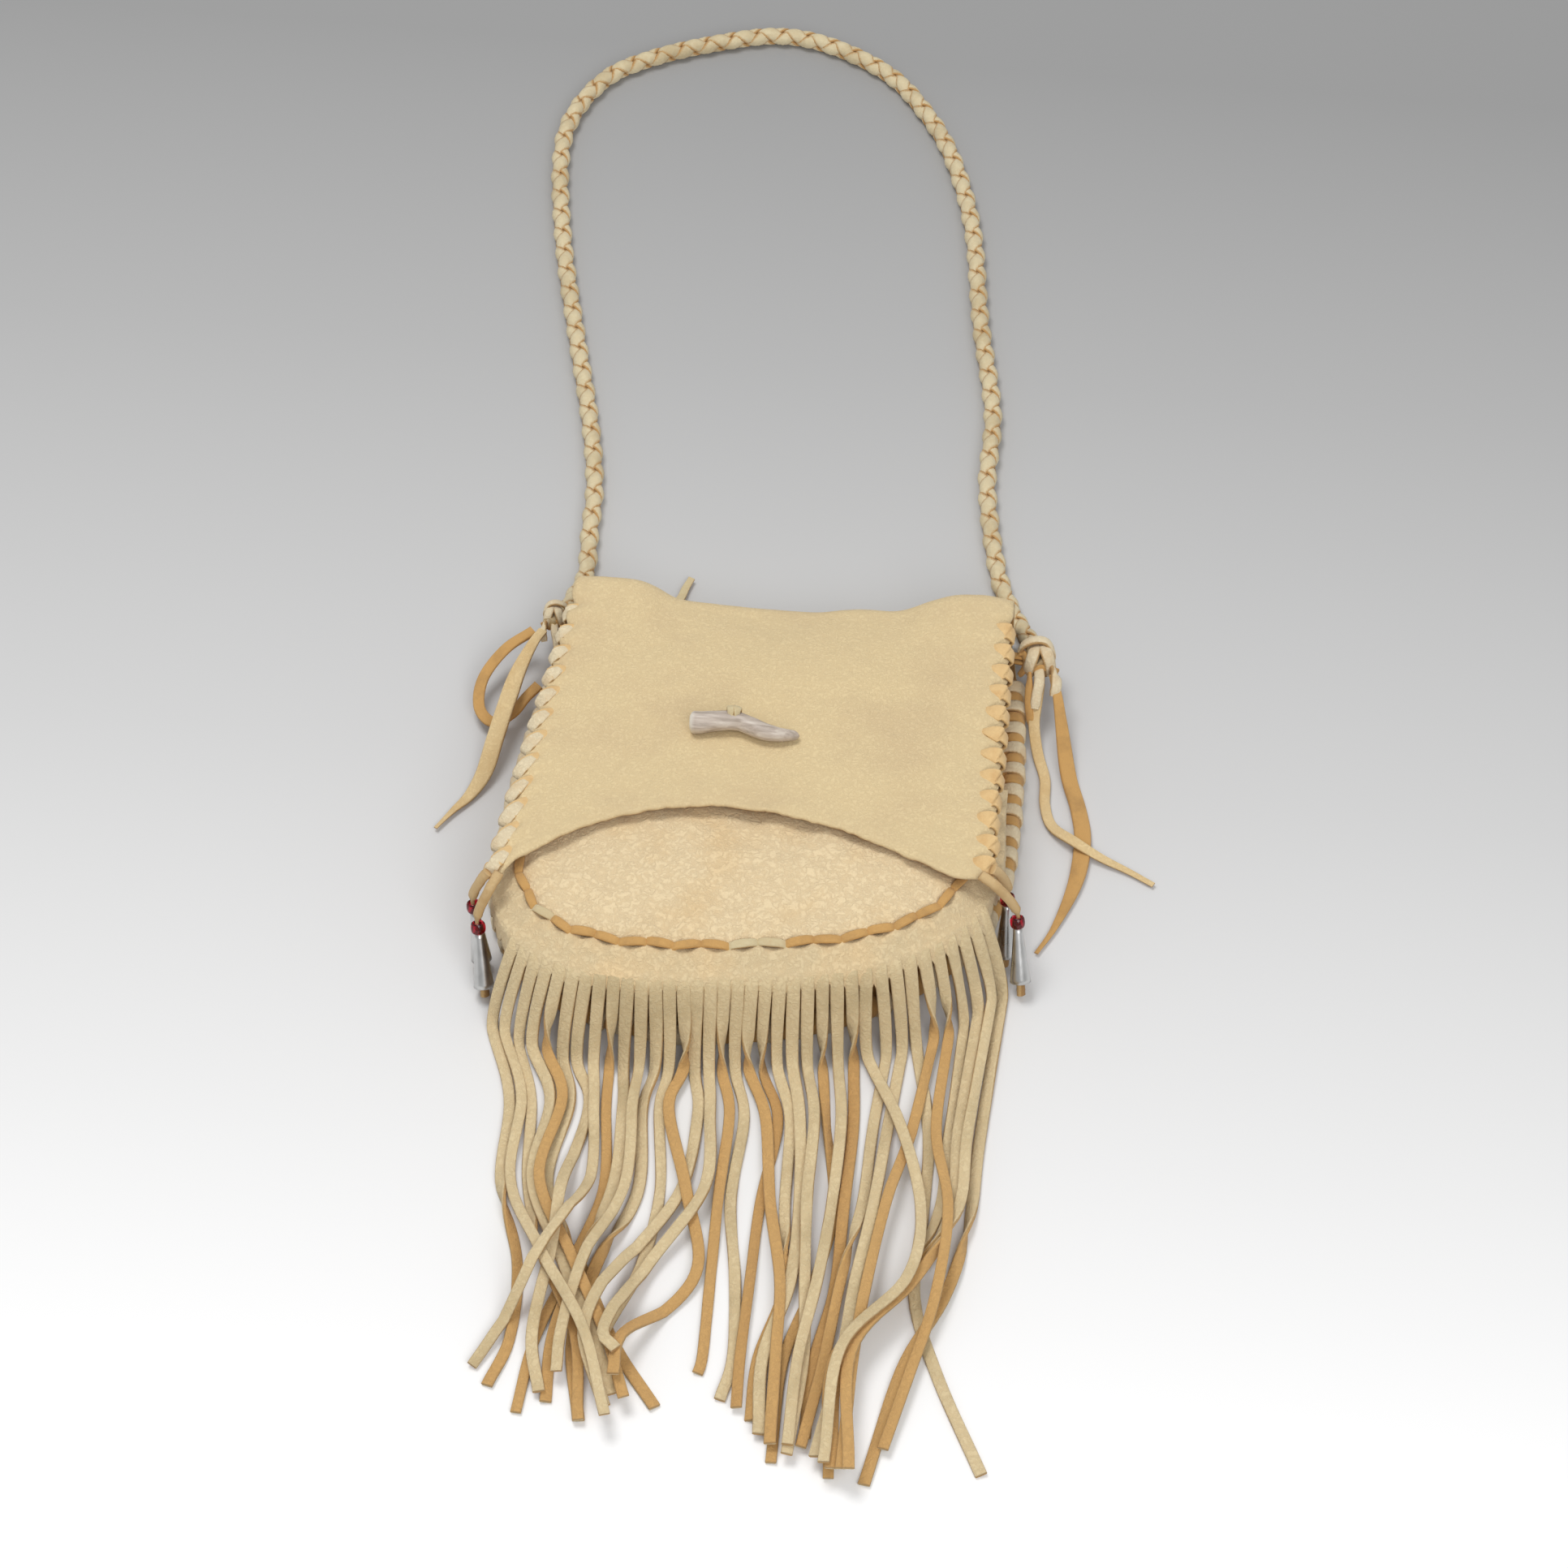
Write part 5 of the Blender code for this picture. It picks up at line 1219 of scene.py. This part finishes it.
# %% [markdown]
# ## The front seam's lacing
# Two laces are saddle-stitched through the front seam, so a stitch of one fills the place where
# the other dips under. Most stitches show the orange suede, a few the pale grain. Each one is a
# short arc that comes out of one hole and goes into the next.

# %% Front stitches
STITCH_WIDTH, STITCH_THICK = 0.0040, 0.0017
PALE_STITCHES = (14, 22, 23)


def seam_arc(seam, share, half, inset, height_at, rise, lean=0.0, steps=9):
    t = np.linspace(-1, 1, steps)
    shares = share + t * half
    xy = seam.offset(shares, -inset + lean * t)
    z = height_at(xy[:, 1]) + rise * (1 - np.abs(t) ** 3) - 0.0012 * np.abs(t) ** 6
    return settle(np.column_stack((xy, z)))


def make_front_stitches(chosen):
    lines = []
    pitch = 1.0 / STITCHES
    for k in chosen:
        wobble = noise.noise(Vector((k * 2.3, 1.7, 0.2)))
        arc = seam_arc(FRONT_SEAM, (k + 0.5) * pitch, pitch * 0.56, FRONT_INSET + 0.0007 * wobble,
                       lambda y: seam_z(y) + HIDE + 0.0005, 0.0010, 0.0010 * (1 if k % 2 else -1))
        swell = 0.74 + 0.26 * np.sin(np.linspace(0.2, math.pi - 0.2, len(arc)))
        lines.append(line(arc, (0, -0.25, 1), swell, 0.15 + 0.2 * wobble, 0.25 * wobble))
    return lines


SUEDE_STITCHES = [k for k in range(STITCHES) if k not in PALE_STITCHES]
stitches_a = thongs("front_stitches_suede", make_front_stitches(SUEDE_STITCHES), STITCH_WIDTH, STITCH_THICK,
                    SUEDE_HIDE, ROUND)
stitches_b = thongs("front_stitches_pale", make_front_stitches(PALE_STITCHES), STITCH_WIDTH, STITCH_THICK,
                    LACE_HIDE, ROUND)
put(stitches_a, "pouch", "suede", "front_lace_a")
put(stitches_b, "pouch", "lace_skin", "front_lace_b")


# %% [markdown]
# ## The back seam's lacing
# The back and the gusset are whipped together over their edges. From the side the broad pale
# loops stand in a column like a row of beads, with a brown dip between each two: a lower suede
# lace, its brown deepened as painted shade between the loops.

# %% Back loops
def make_back_loops(step=0.5, sink=0.0):
    lines = []
    pitch = 1.0 / LOOPS
    t = np.linspace(-0.80 * math.pi, 0.80 * math.pi, 17)
    bulge_out = np.sign(np.cos(t)) * np.abs(np.cos(t)) ** 0.8
    bulge_up = np.sign(np.sin(t)) * np.abs(np.sin(t)) ** 0.8
    for k in range(LOOPS):
        wobble = noise.noise(Vector((k * 1.7, 9.1, 0.4)))
        share = (k + step) * pitch + pitch * (0.20 * t / math.pi + 0.08 * wobble)
        out = -0.0018 + (0.0042 + 0.0004 * wobble - sink) * bulge_out
        xy = BACK_SEAM.offset(share, out)
        z = np.maximum(0.0050 + (0.0044 - sink) * bulge_up, 0.0009)
        points = settle(np.column_stack((xy, z)))
        centre = settle(np.column_stack((BACK_SEAM.offset(share, -0.0016), 0.0046 + 0 * z)))
        swell = 0.62 + 0.38 * np.cos(t / 2) ** 2
        # the sunk layer's tone 0.6 deepens the suede's brown: painted shade between the loops
        lines.append(line(points, points - centre, swell, 0.2 if sink == 0.0 else 0.6, 0.25 * wobble))
    return lines


loops = thongs("back_seam_loops", make_back_loops(), 0.0074, 0.0030, PALE_HIDE, ROUNDEST)
# the lower suede layer between the loops, darker by its tone as painted shade
dips = thongs("back_seam_dips", make_back_loops(0.0, 0.0009), 0.0072, 0.0030, SUEDE_HIDE, ROUNDEST)
put(loops, "pouch", "lace_skin", "back_seam_lace")
put(dips, "pouch", "lace_skin", "back_seam_lace")

# %% [markdown]
# ## The flap's side lacing
# Each side of the flap is whipped with one lace. A stitch comes up through its hole as a point,
# widens as it leans down to the edge, and wraps round it to the underside.

# %% Flap lacing
WHIP_STOPS = ((0.0098, HIDE - 0.0005, -0.02, 0.20), (0.0084, HIDE + 0.0003, 0.04, 0.50),
              (0.0060, HIDE + 0.0013, 0.12, 0.80), (0.0030, HIDE + 0.0016, 0.22, 1.0),
              (0.0004, HIDE + 0.0010, 0.31, 1.08), (-0.0012, HIDE * 0.3, 0.37, 1.0),
              (-0.0004, -0.0008, 0.40, 0.9), (0.0020, -0.0013, 0.36, 0.8), (0.0045, -0.0012, 0.30, 0.6))


def make_flap_whips(side, reach=1.0, sink=0.0, shift=0.0):
    """reach scales how far in the stitches start; sink and shift set a lower layer down and upwards."""
    lines = []
    pitch = flap_slit_y(0) - flap_slit_y(1)
    for k in range(FLAP_SLITS):
        y = flap_slit_y(k) + shift
        wobble = noise.noise(Vector((k * 2.9, side * 5.0, 0.7)))
        points = np.array([flap_point(side, inset * (reach if inset > 0.001 else 1.0) + 0.0008 * wobble,
                                      y - lean * pitch, rise - 0.0006 - sink)
                           for inset, rise, lean, _ in WHIP_STOPS])
        centre = np.array([flap_point(side, 0.0035, y - lean * pitch, HIDE / 2)
                           for _, _, lean, _ in WHIP_STOPS])
        looks = points - centre
        looks[:4] = (side * 0.15, 0, 1)
        widths = np.interp(np.linspace(0, 8, 25), range(9), [w for *_, w in WHIP_STOPS])
        fine = smooth_route(points, 25)
        looks = np.column_stack([np.interp(np.linspace(0, 8, 25), range(9), looks[:, n]) for n in range(3)])
        lines.append(line(fine, unit(looks), widths * (1 + 0.15 * wobble), 0.1, side * 0.20))
    return lines


right_whips = thongs("flap_whips_right", make_flap_whips(1), 0.0078, 0.0015, WHIP_HIDE, ROUND)
left_whips = thongs("flap_whips_left", make_flap_whips(-1, 0.62), 0.0058, 0.0017, PALE_HIDE, ROUND)
left_unders = thongs("flap_whips_left_under", make_flap_whips(-1, 0.80, 0.0005, 0.0009), 0.0066, 0.0012,
                     WHIP_HIDE, ROUND)
put(right_whips, "flap", "lace_skin", "flap_lace_right")
put(left_whips, "flap", "lace_skin", "flap_lace_left")
put(left_unders, "flap", "lace_skin", "flap_lace_left")

# %% [markdown]
# ## The antler toggle
# The toggle is the tip of a deer's tine: blunt where it was sawn, bent like a flat S, and drawn
# out to a rounded point. It is turned ring by ring along its line, with shallow flutes, and a
# thong holds it to the flap.

# %% Toggle and its tie
TOGGLE_ROUTE = ((-31, 14.4, 0), (-26, 14.2, 0), (-20, 14.8, 0.3), (-13, 15.0, 0.6), (-6, 13.5, 0.6),
                (1, 11.1, 0.4), (7, 9.7, 0), (12, 9.3, -0.6), (16, 9.4, -1.2))
TOGGLE_SHIFT = (-1.8, 6.2)
TOGGLE_BLUNT, TOGGLE_TIP, TIE, TIE_AT = 0.0094, 0.0020, 0.0026, 3


def toggle_line():
    spots = []
    for x, y, lift in TOGGLE_ROUTE:
        x, y = x + TOGGLE_SHIFT[0], y + TOGGLE_SHIFT[1]
        base = flap_height(x * MM, y * MM) + HIDE + GAP
        spots.append(settle((x * MM, y * MM, base + TOGGLE_BLUNT / 2 + lift * MM)))
    return np.array(spots)


def make_toggle():
    path = smooth_route(toggle_line(), 60)
    _, side, over = frames_along(path)
    share = np.linspace(0, 1, len(path))
    size = np.interp(share, (0, 0.2, 0.38, 0.6, 0.75, 0.86, 0.95, 1.0),
                     np.array((9.8, 9.2, 8.1, 7.8, 6.9, 5.6, 4.2, 3.0)) * MM)
    path[:, 2] -= (TOGGLE_BLUNT - size) * 0.25
    path[:, 1] -= 0.0016 * np.sin(math.pi * np.clip((share - 0.45) / 0.5, 0, 1))
    round_off = np.sqrt(np.clip(1 - (1 - ease(share, -0.02, 0.045)) ** 2, 0.02, 1))
    point_off = np.sqrt(np.clip(1 - ease(share, 0.955, 1.004) ** 2, 0.01, 1))
    size = size * round_off * point_off
    angles = np.linspace(0, 2 * math.pi, 28, endpoint=False)
    flutes = 1 + 0.035 * np.sin(5 * angles[None] + 3 * share[:, None]) * (1 - share[:, None])
    knobs = np.array([[noise.noise(Vector((s * 7.0, math.cos(a), math.sin(a)))) for a in angles]
                      for s in share])
    radius = size[:, None] / 2 * flutes * (1 + 0.06 * knobs)
    rings = (path[:, None] + (side[:, None] * np.cos(angles)[None, :, None]
                              + over[:, None] * np.sin(angles)[None, :, None]) * radius[..., None])
    sawn = np.repeat(1.0 - ease(share, 0.0, 0.05), len(angles))
    return mesh_piece("antler_tine", rings.reshape(-1, 3), ring_faces(len(path), len(angles)), ANTLER_FINISH,
                      (("sawn", sawn),))


def make_toggle_tie():
    centre = toggle_line()[TIE_AT]
    size = TOGGLE_BLUNT + (TOGGLE_TIP - TOGGLE_BLUNT) * (TIE_AT / 8) ** 1.6
    reach = size / 2 + GAP + TIE / 2
    lines = []
    for shift in (-0.0012, 0.0014):
        t = np.linspace(-0.42 * math.pi, 0.50 * math.pi, 21)
        y = centre[1] + (reach + 0.0002) * np.cos(t)
        z = centre[2] + (reach - 0.0004) * np.sin(t)
        points = np.column_stack((centre[0] + shift + 0.0003 * np.sin(t), y, z))
        foot = flap_height(centre[0], centre[1]) + HIDE * 0.3
        points[:, 2] = np.maximum(points[:, 2], foot)
        points[:, 2] -= 0.0022 * ease(t, 0.38 * math.pi, 0.50 * math.pi)
        lines.append(line(points, points - centre, 1.0 - 0.3 * ease(t, 0.3 * math.pi, 0.5 * math.pi), 0.3))
    return thongs("toggle_thong", lines, 0.0040, 0.0017, LACE_HIDE, ROUND)


put(make_toggle(), "flap", "antler", "antler_toggle")
put(make_toggle_tie(), "flap", "lace_skin", "toggle_tie")


# %% [markdown]
# ## The strap's knots
# At each end the braid's four thongs are wrapped round themselves and tucked in. A pale band runs
# across, and two turns lie below it. The core is never seen, but it fills the knot.

# %% Wrapped knots and roots
# Each strand: width, then its points in millimetres to the right, up and forward as the camera sees the knot
PALE_STRANDS = (
    (4.8, ((-9, 5.5, 0), (-6.6, 8.6, 2.5), (-1.6, 10.2, 3.5), (2.8, 9.2, 3), (5.2, 5.5, 1), (5.5, 2, -2))),
    (5.8, ((-2, 7.4, 0.5), (-3, 4.2, 5.2), (-4.2, 0.5, 5.6), (-5, -2.6, 3.5), (-4.8, -4.5, 0))),
    (6.0, ((1.5, 7.6, 0.5), (2.6, 4.5, 5.4), (3.6, 1, 5.8), (4.2, -2.4, 3.8), (4.2, -4, 0.5))),
    (5.2, ((4.4, -2.0, 3), (6.2, -6, 10.2), (6.4, -10, 12.2), (5.4, -14.5, 11.6))),
    (4.8, ((-0.6, -1.8, 3), (-0.8, -8, 9.8), (-2, -14, 10.8), (-2.8, -20, 10.8))),
)
TAN_STRANDS = (
    (2.8, ((-7.6, -3.6, -1), (-4.5, -2.8, 4.6), (-1.6, -2.1, 5.4), (3, -2.2, 5.6),
           (7, -3.4, 3), (7.5, -3.6, -1))),
    (3.6, ((-4.6, -2.5, 2), (-5.2, -10, 8.6), (-5.6, -17, 9.8), (-5, -23, 10), (-4, -28, 9.4))),
    (3.2, ((-10, 3.5, 0), (-7.6, 4.6, 1.5), (-6.4, 1, 3), (-7.4, -3, 1), (-9, -5, -1))),
)


def knot_lines(strands, centre, sign, scale):
    across = np.array((math.cos(AZIMUTH), math.sin(AZIMUTH), 0.0))
    front = np.array(away)
    upward = np.cross(front, across)
    lines = []
    for wide, route in strands:
        spots = smooth_route(np.array(route, float) * MM * scale, 24)
        points = centre + spots @ np.array((across * sign, upward, front))
        looks = points - centre + front * 0.004 * np.abs(spots[:, 1:2]) / 0.01
        fall = ease(np.linspace(0, 1, 24), 0, 0.12) * ease(np.linspace(1, 0, 24), 0, 0.12)
        lines.append(line(points, looks, wide / 5 * scale * (0.78 + 0.22 * fall), 0.1))
    return lines


def make_knot(name, centre, strap_end, sign, scale):
    axis = unit(centre - strap_end)
    core = centre + axis * (KNOT_LENGTH * np.linspace(-0.45, 0.25, 12))[:, None]
    cores = thongs(name + "_core", [line(core, np.cross(axis, (1.0, 0.0, 0.0)), scale, 0.9)], KNOT * 0.66,
                   KNOT * 0.66, SIDE_HIDE, ROUND)
    pale = thongs(name + "_strands", knot_lines(PALE_STRANDS, centre, sign, scale), 0.0050, 0.0026, PALE_HIDE,
                  ROUNDEST)
    tan = thongs(name + "_tan_strands", knot_lines(TAN_STRANDS, centre, sign, scale), 0.0050, 0.0024,
                 SUEDE_HIDE, ROUNDEST)
    return cores, pale, tan


ROOT = 0.0050
for side_name, centre, end, sign in (("left", KNOT_LEFT, 0, -1), ("right", KNOT_RIGHT, -1, 1)):
    start_point = strap_path[end]
    for piece in make_knot("strap_knot_" + side_name, centre, start_point, sign, 0.70 if sign < 0 else 1.0):
        put(piece, "pouch", "braid", "strap_knot_" + side_name)
    mouth = settle((sign * (FRONT_HALF_TOP - FRONT_FLANGE), MOUTH_Y, centre[2]))
    finish_point = mouth + (0.0, ROOT / 2 + 4 * GAP, 0.0)
    root_lines = []
    for shift in (-0.0016, 0.0016):
        middle = (centre + finish_point) / 2 + (0.0, 0.002, 0.001 + shift)
        spots = smooth_route((centre + (0, shift, 0), middle,
                              finish_point + (0, shift * 0.4, shift * 0.3)), 16)
        root_lines.append(line(spots, (0, 0.3, 1), 1.0, 0.6))
    roots = thongs("strap_root_strands_" + side_name, root_lines, 0.0040, 0.0018, SUEDE_HIDE, ROUND)
    put(roots, "pouch", "suede", "strap_root_" + side_name)

# %% [markdown]
# ## Loose tails
# What is left of the lacing hangs loose: a suede loop and a pale tail on the left, a broad orange
# tail and a thin pale one on the right, and a short end behind. They taper to a cut point and
# roll a little as they lie.

# %% Tails and loop
TAIL_WIDTH, TAIL_THICK = 0.0052, 0.0020
TAILS = (
    ("left_loop", SUEDE_HIDE, "suede", 1.05, 0.0,
     ((-110, 88, 16), (-121, 78, 14), (-129, 64, 10), (-129, 50, 7), (-122, 43, 6), (-114, 47, 8),
      (-109, 54, 11),
      (-104, 60, 13))),
    ("left_tail", GOLD_HIDE, "lace_skin", 1.60, 0.78,
     ((-105.4, 85.8, 19.3), (-108.5, 78, 20), (-113, 62, 19), (-116, 46, 16), (-119, 30, 11), (-122, 16, 5),
      (-127, 5, 2), (-133, -4, 2), (-139, -14, 2))),
    ("right_tail_a", SUEDE_HIDE, "suede", 1.50, 0.75,
     ((118.7, 83.4, 20.2), (121.6, 74, 16), (124, 64, 11), (129, 42, 3), (134.5, 25, 1.5), (137.5, 8, 1.5),
      (136, -14, 1.5), (129, -38, 1.5), (122, -53, 1.5))),
    ("right_tail_b", GOLD_HIDE, "lace_skin", 1.0, 0.5,
     ((113.1, 80.6, 16.9), (112.6, 73, 12.3), (112.3, 65, 7), (115, 53, 2.2), (119, 40, 1.6), (120, 26, 1.6),
      (124, 14, 2.4), (134, 5, 4.9), (146, -1, 2.8), (158, -6, 1.6), (169, -12, 1.5))),
    ("back_tail", LACE_HIDE, "lace_skin", 0.8, 0.2,
     ((-61, 112.3, 9.5), (-55, 117.5, 4.5), (-50, 124, 2), (-48, 131, 2), (-46, 137, 2))),
)
for number, (tail_name, tail_finish, tail_slot, wide, taper, route) in enumerate(TAILS):
    spots = smooth_route(np.array(route, float) * MM, 44)
    share = np.linspace(0, 1, len(spots))
    roll = np.array([noise.noise(Vector((s * 5.0, number * 8.1, 0.3))) for s in share])
    widths = wide * (1 + 0.06 * roll) * (1 - taper * ease(share, 0.62, 1.0))
    if wide > 1.2:
        widths = widths * (0.55 + 0.45 * ease(share, 0.0, 0.35))
    low = TAIL_THICK / 2 * 1.1
    spots[:, 2] = np.maximum(spots[:, 2], low)
    tail = thongs(tail_name + "_thong", [line(spots, (0, 0, 1), widths, 0.1, 0.35 * roll)], TAIL_WIDTH * 0.92,
                  TAIL_THICK * 0.85, tail_finish)
    put(tail, "pouch", tail_slot, tail_name)

# %% [markdown]
# ## The jingles
# A bead and a rolled tin cone hang at each lower corner of the flap on fuzzy thongs, two a side.
# A cone is a strip of tinplate rolled up with its edges just overlapping, so it is modelled as an
# open wall, and the thong's soft end shows below it.

# %% Beads, cones and thongs
BEAD, BEAD_HEIGHT, BORE = 0.0063, 0.0048, 0.0029
CONE_LENGTH, CONE_TOP, CONE_BOTTOM, TIN = 0.0240, 0.0038, 0.0088, 0.0004
TIP_LENGTH = 0.0050
JINGLES = {
    "left_a": ((-107.2, -72, 48), (-110, -73, 42), (-112, -75, 31), (0.10, -0.26, -0.80), 0.0240),
    "left_b": ((-103.0, -74.2, 47.6), (-107, -80, 40), (-109, -84, 29), (0.10, -0.40, -0.72), 0.0235),
    "right_a": ((103.3, -48.2, 48.6), (106.5, -47, 42), (108.5, -48, 31), (0.02, -0.34, -0.76), 0.0240),
    "right_b": ((100.8, -53.1, 48.2), (108.5, -56, 42), (113.5, -58.5, 30), (0.10, -0.44, -0.72), 0.0250),
}


def make_bead(name, top, axis):
    side = unit(np.cross(axis, (0.0, 0.0, 1.0)))
    over = np.cross(side, axis)
    ring_angles = np.linspace(0, 2 * math.pi, 20, endpoint=False)
    middle, reach = (BEAD + BORE) / 4, (BEAD - BORE) / 4
    points = []
    for a in np.linspace(0, 2 * math.pi, 36, endpoint=False):
        outward = side * math.cos(a) + over * math.sin(a)
        for b in ring_angles:
            points.append(top + axis * BEAD_HEIGHT / 2 * (1 + math.sin(b))
                          + outward * (middle + reach * math.cos(b)))
    faces = []
    for i in range(36):
        for j in range(20):
            faces.append((i * 20 + j, i * 20 + (j + 1) % 20, ((i + 1) % 36) * 20 + (j + 1) % 20,
                          ((i + 1) % 36) * 20 + j))
    return mesh_piece(name, points, faces, GLASS)


def make_cone(name, top, axis):
    """A wall that overlaps itself by a few degrees, as the rolled tin does."""
    side = unit(np.cross(axis, (0.0, 0.0, 1.0)))
    over = np.cross(side, axis)
    turn = np.linspace(-1.2, 2 * math.pi - 0.75, 48)
    spread = 0.00025 * ease(turn, 2 * math.pi - 1.9, 2 * math.pi - 0.75)
    outward = side * np.cos(turn)[:, None] + over * np.sin(turn)[:, None]
    shares = np.linspace(0, 1, 14)
    outer = []
    for s in shares:
        radius = CONE_TOP / 2 + (CONE_BOTTOM - CONE_TOP) / 2 * s ** 1.05 + spread
        outer.append(top + axis * CONE_LENGTH * s + outward * radius[:, None])
    wall = np.array(outer)
    return hide_sheet(name, wall[:, ::-1] if wall_points_in(wall) else wall, TIN_FINISH, TIN)


def wall_points_in(grid):
    middle = grid.mean(axis=(0, 1))
    normal = grid_normals(grid)
    return float(np.sum(normal * (grid - middle))) < 0


for jingle, (start, turn, bead_at, direction, below) in JINGLES.items():
    start, turn, bead_at = (np.array(p) * MM for p in (start, turn, bead_at))
    axis = unit(direction)
    bead_top = bead_at - axis * BEAD_HEIGHT / 2
    cone_top = bead_at + axis * (BEAD_HEIGHT / 2 + GAP)
    tip = cone_top + axis * (below + TIP_LENGTH)
    put(make_bead("glass_bead_" + jingle, bead_top, axis), "flap", "red_glass", "bead_" + jingle)
    put(make_cone("tin_cone_" + jingle, cone_top, axis), "flap", "tinplate", "cone_" + jingle)
    up_side = start + (turn - start) * 0.5 + (0, 0, 0.0016)
    spots = smooth_route((start - (turn - start) * 0.5, up_side, bead_top - axis * 0.002,
                          cone_top + axis * 0.008, tip), 56)
    share = np.linspace(0, 1, len(spots))
    bead_share = np.linalg.norm(spots - bead_at, axis=1)
    out_of_bead = ease(bead_share, 0.0030, 0.0060)
    down = (spots - cone_top) @ axis
    in_cone = ease(down, -0.001, 0.001) * (1 - ease(down, 0.020, 0.024))
    wide = 0.42 + 0.58 * out_of_bead * (1 - 0.6 * in_cone)
    fuzz = np.array([noise.noise(Vector((s * 40.0, 2.0, len(jingle)))) for s in share])
    cord_line = line(spots, (0.2, -0.6, 1.0), wide * (1 + 0.10 * fuzz), 0.25, 2.2 * share)
    fuzzy = thongs("jingle_thong_" + jingle, [cord_line], 0.0044, 0.0034, FUZZY_HIDE, ROUNDEST)
    put(fuzzy, "flap", "suede", "thong_" + jingle)

# %% [markdown]
# ## Floor and light
# The pouch lies on plain pale paper. Its light falls off from white in front to grey far away,
# and that falloff is painted shade in the floor's colour for the camera, glossy and glass rays;
# other rays see a plain grey, so the lamps stay plain and the shadows stay real. One large soft
# lamp stands high behind the pouch, and the world fills the rest.

# %% Floor
# painted light falloff on the floor: its brightness by picture row, white in front to grey far away
PAINTED_FALLOFF = ((70, 0.345), (450, 0.460), (950, 0.635), (1400, 0.820), (1850, 1.0))


def floor_y(picture_row):
    """Where the camera's ray through that row of the picture meets the floor."""
    below = math.atan((picture_row - PICTURE / 2) / FOCAL_POINTS)
    height = DISTANCE * math.sin(ELEVATION)
    return AIM.y - DISTANCE * math.cos(ELEVATION) + height / math.tan(ELEVATION + below)


def make_floor():
    size = 9.0
    mesh = bpy.data.meshes.new("paper_floor")
    mesh.from_pydata([(-size, -size, -0.0002), (size, -size, -0.0002),
                      (size, size, -0.0002), (-size, size, -0.0002)],
                     [], [(0, 1, 2, 3)])
    obj = bpy.data.objects.new("paper_floor", mesh)
    bpy.context.scene.collection.objects.link(obj)
    mat, tree, shader = principled("paper", 0.95, specular=0.0)
    spot = tree.nodes.new("ShaderNodeTexCoord").outputs["Object"]
    apart = tree.nodes.new("ShaderNodeSeparateXYZ")
    tree.links.new(spot, apart.inputs[0])
    far, near = floor_y(PAINTED_FALLOFF[0][0]), floor_y(PAINTED_FALLOFF[-1][0])
    place = tree.nodes.new("ShaderNodeMapRange")
    tree.links.new(apart.outputs["Y"], place.inputs["Value"])
    place.inputs["From Min"].default_value = far
    place.inputs["From Max"].default_value = near
    stops = [((floor_y(row) - far) / (near - far), (value, value, value)) for row, value in PAINTED_FALLOFF]
    # the painted falloff: the floor's colour darkens with distance as the light falls off
    fade = ramp_node(tree, place.outputs[0], stops)
    seen = tree.nodes.new("ShaderNodeLightPath")
    direct = math_node(tree, "MAXIMUM", seen.outputs["Is Camera Ray"],
                       math_node(tree, "MAXIMUM", seen.outputs["Is Glossy Ray"],
                                 seen.outputs["Is Transmission Ray"]))
    # camera, glossy and glass rays see the painted falloff, other rays a plain grey
    colour = mix_node(tree, direct, (0.60, 0.60, 0.60), fade)
    tree.links.new(colour, shader.inputs["Base Color"])
    mesh.materials.append(mat)


make_floor()
print("floor fades from y", round(floor_y(70), 2), "to", round(floor_y(1850), 2), "m")


# %% Light
def soft_lamp(name, place, size, power):
    data = bpy.data.lights.new(name, "AREA")
    data.shape = "DISK"
    data.size = size
    data.energy = power
    lamp = bpy.data.objects.new(name, data)
    lamp.location = place
    lamp.rotation_euler = (-Vector(place)).to_track_quat("-Z", "Y").to_euler()
    bpy.context.scene.collection.objects.link(lamp)


soft_lamp("high_back_lamp", (-0.55, 0.50, 2.15), 1.0, 21.5)
soft_lamp("front_fill_lamp", (0.7, -1.5, 1.7), 1.6, 21.0)
world = bpy.data.worlds.new("room")
world.use_nodes = True
world.node_tree.nodes["Background"].inputs["Color"].default_value = (1.0, 1.0, 1.0, 1.0)
world.node_tree.nodes["Background"].inputs["Strength"].default_value = 0.44
bpy.context.scene.world = world
bpy.context.scene.view_settings.view_transform = "Standard"
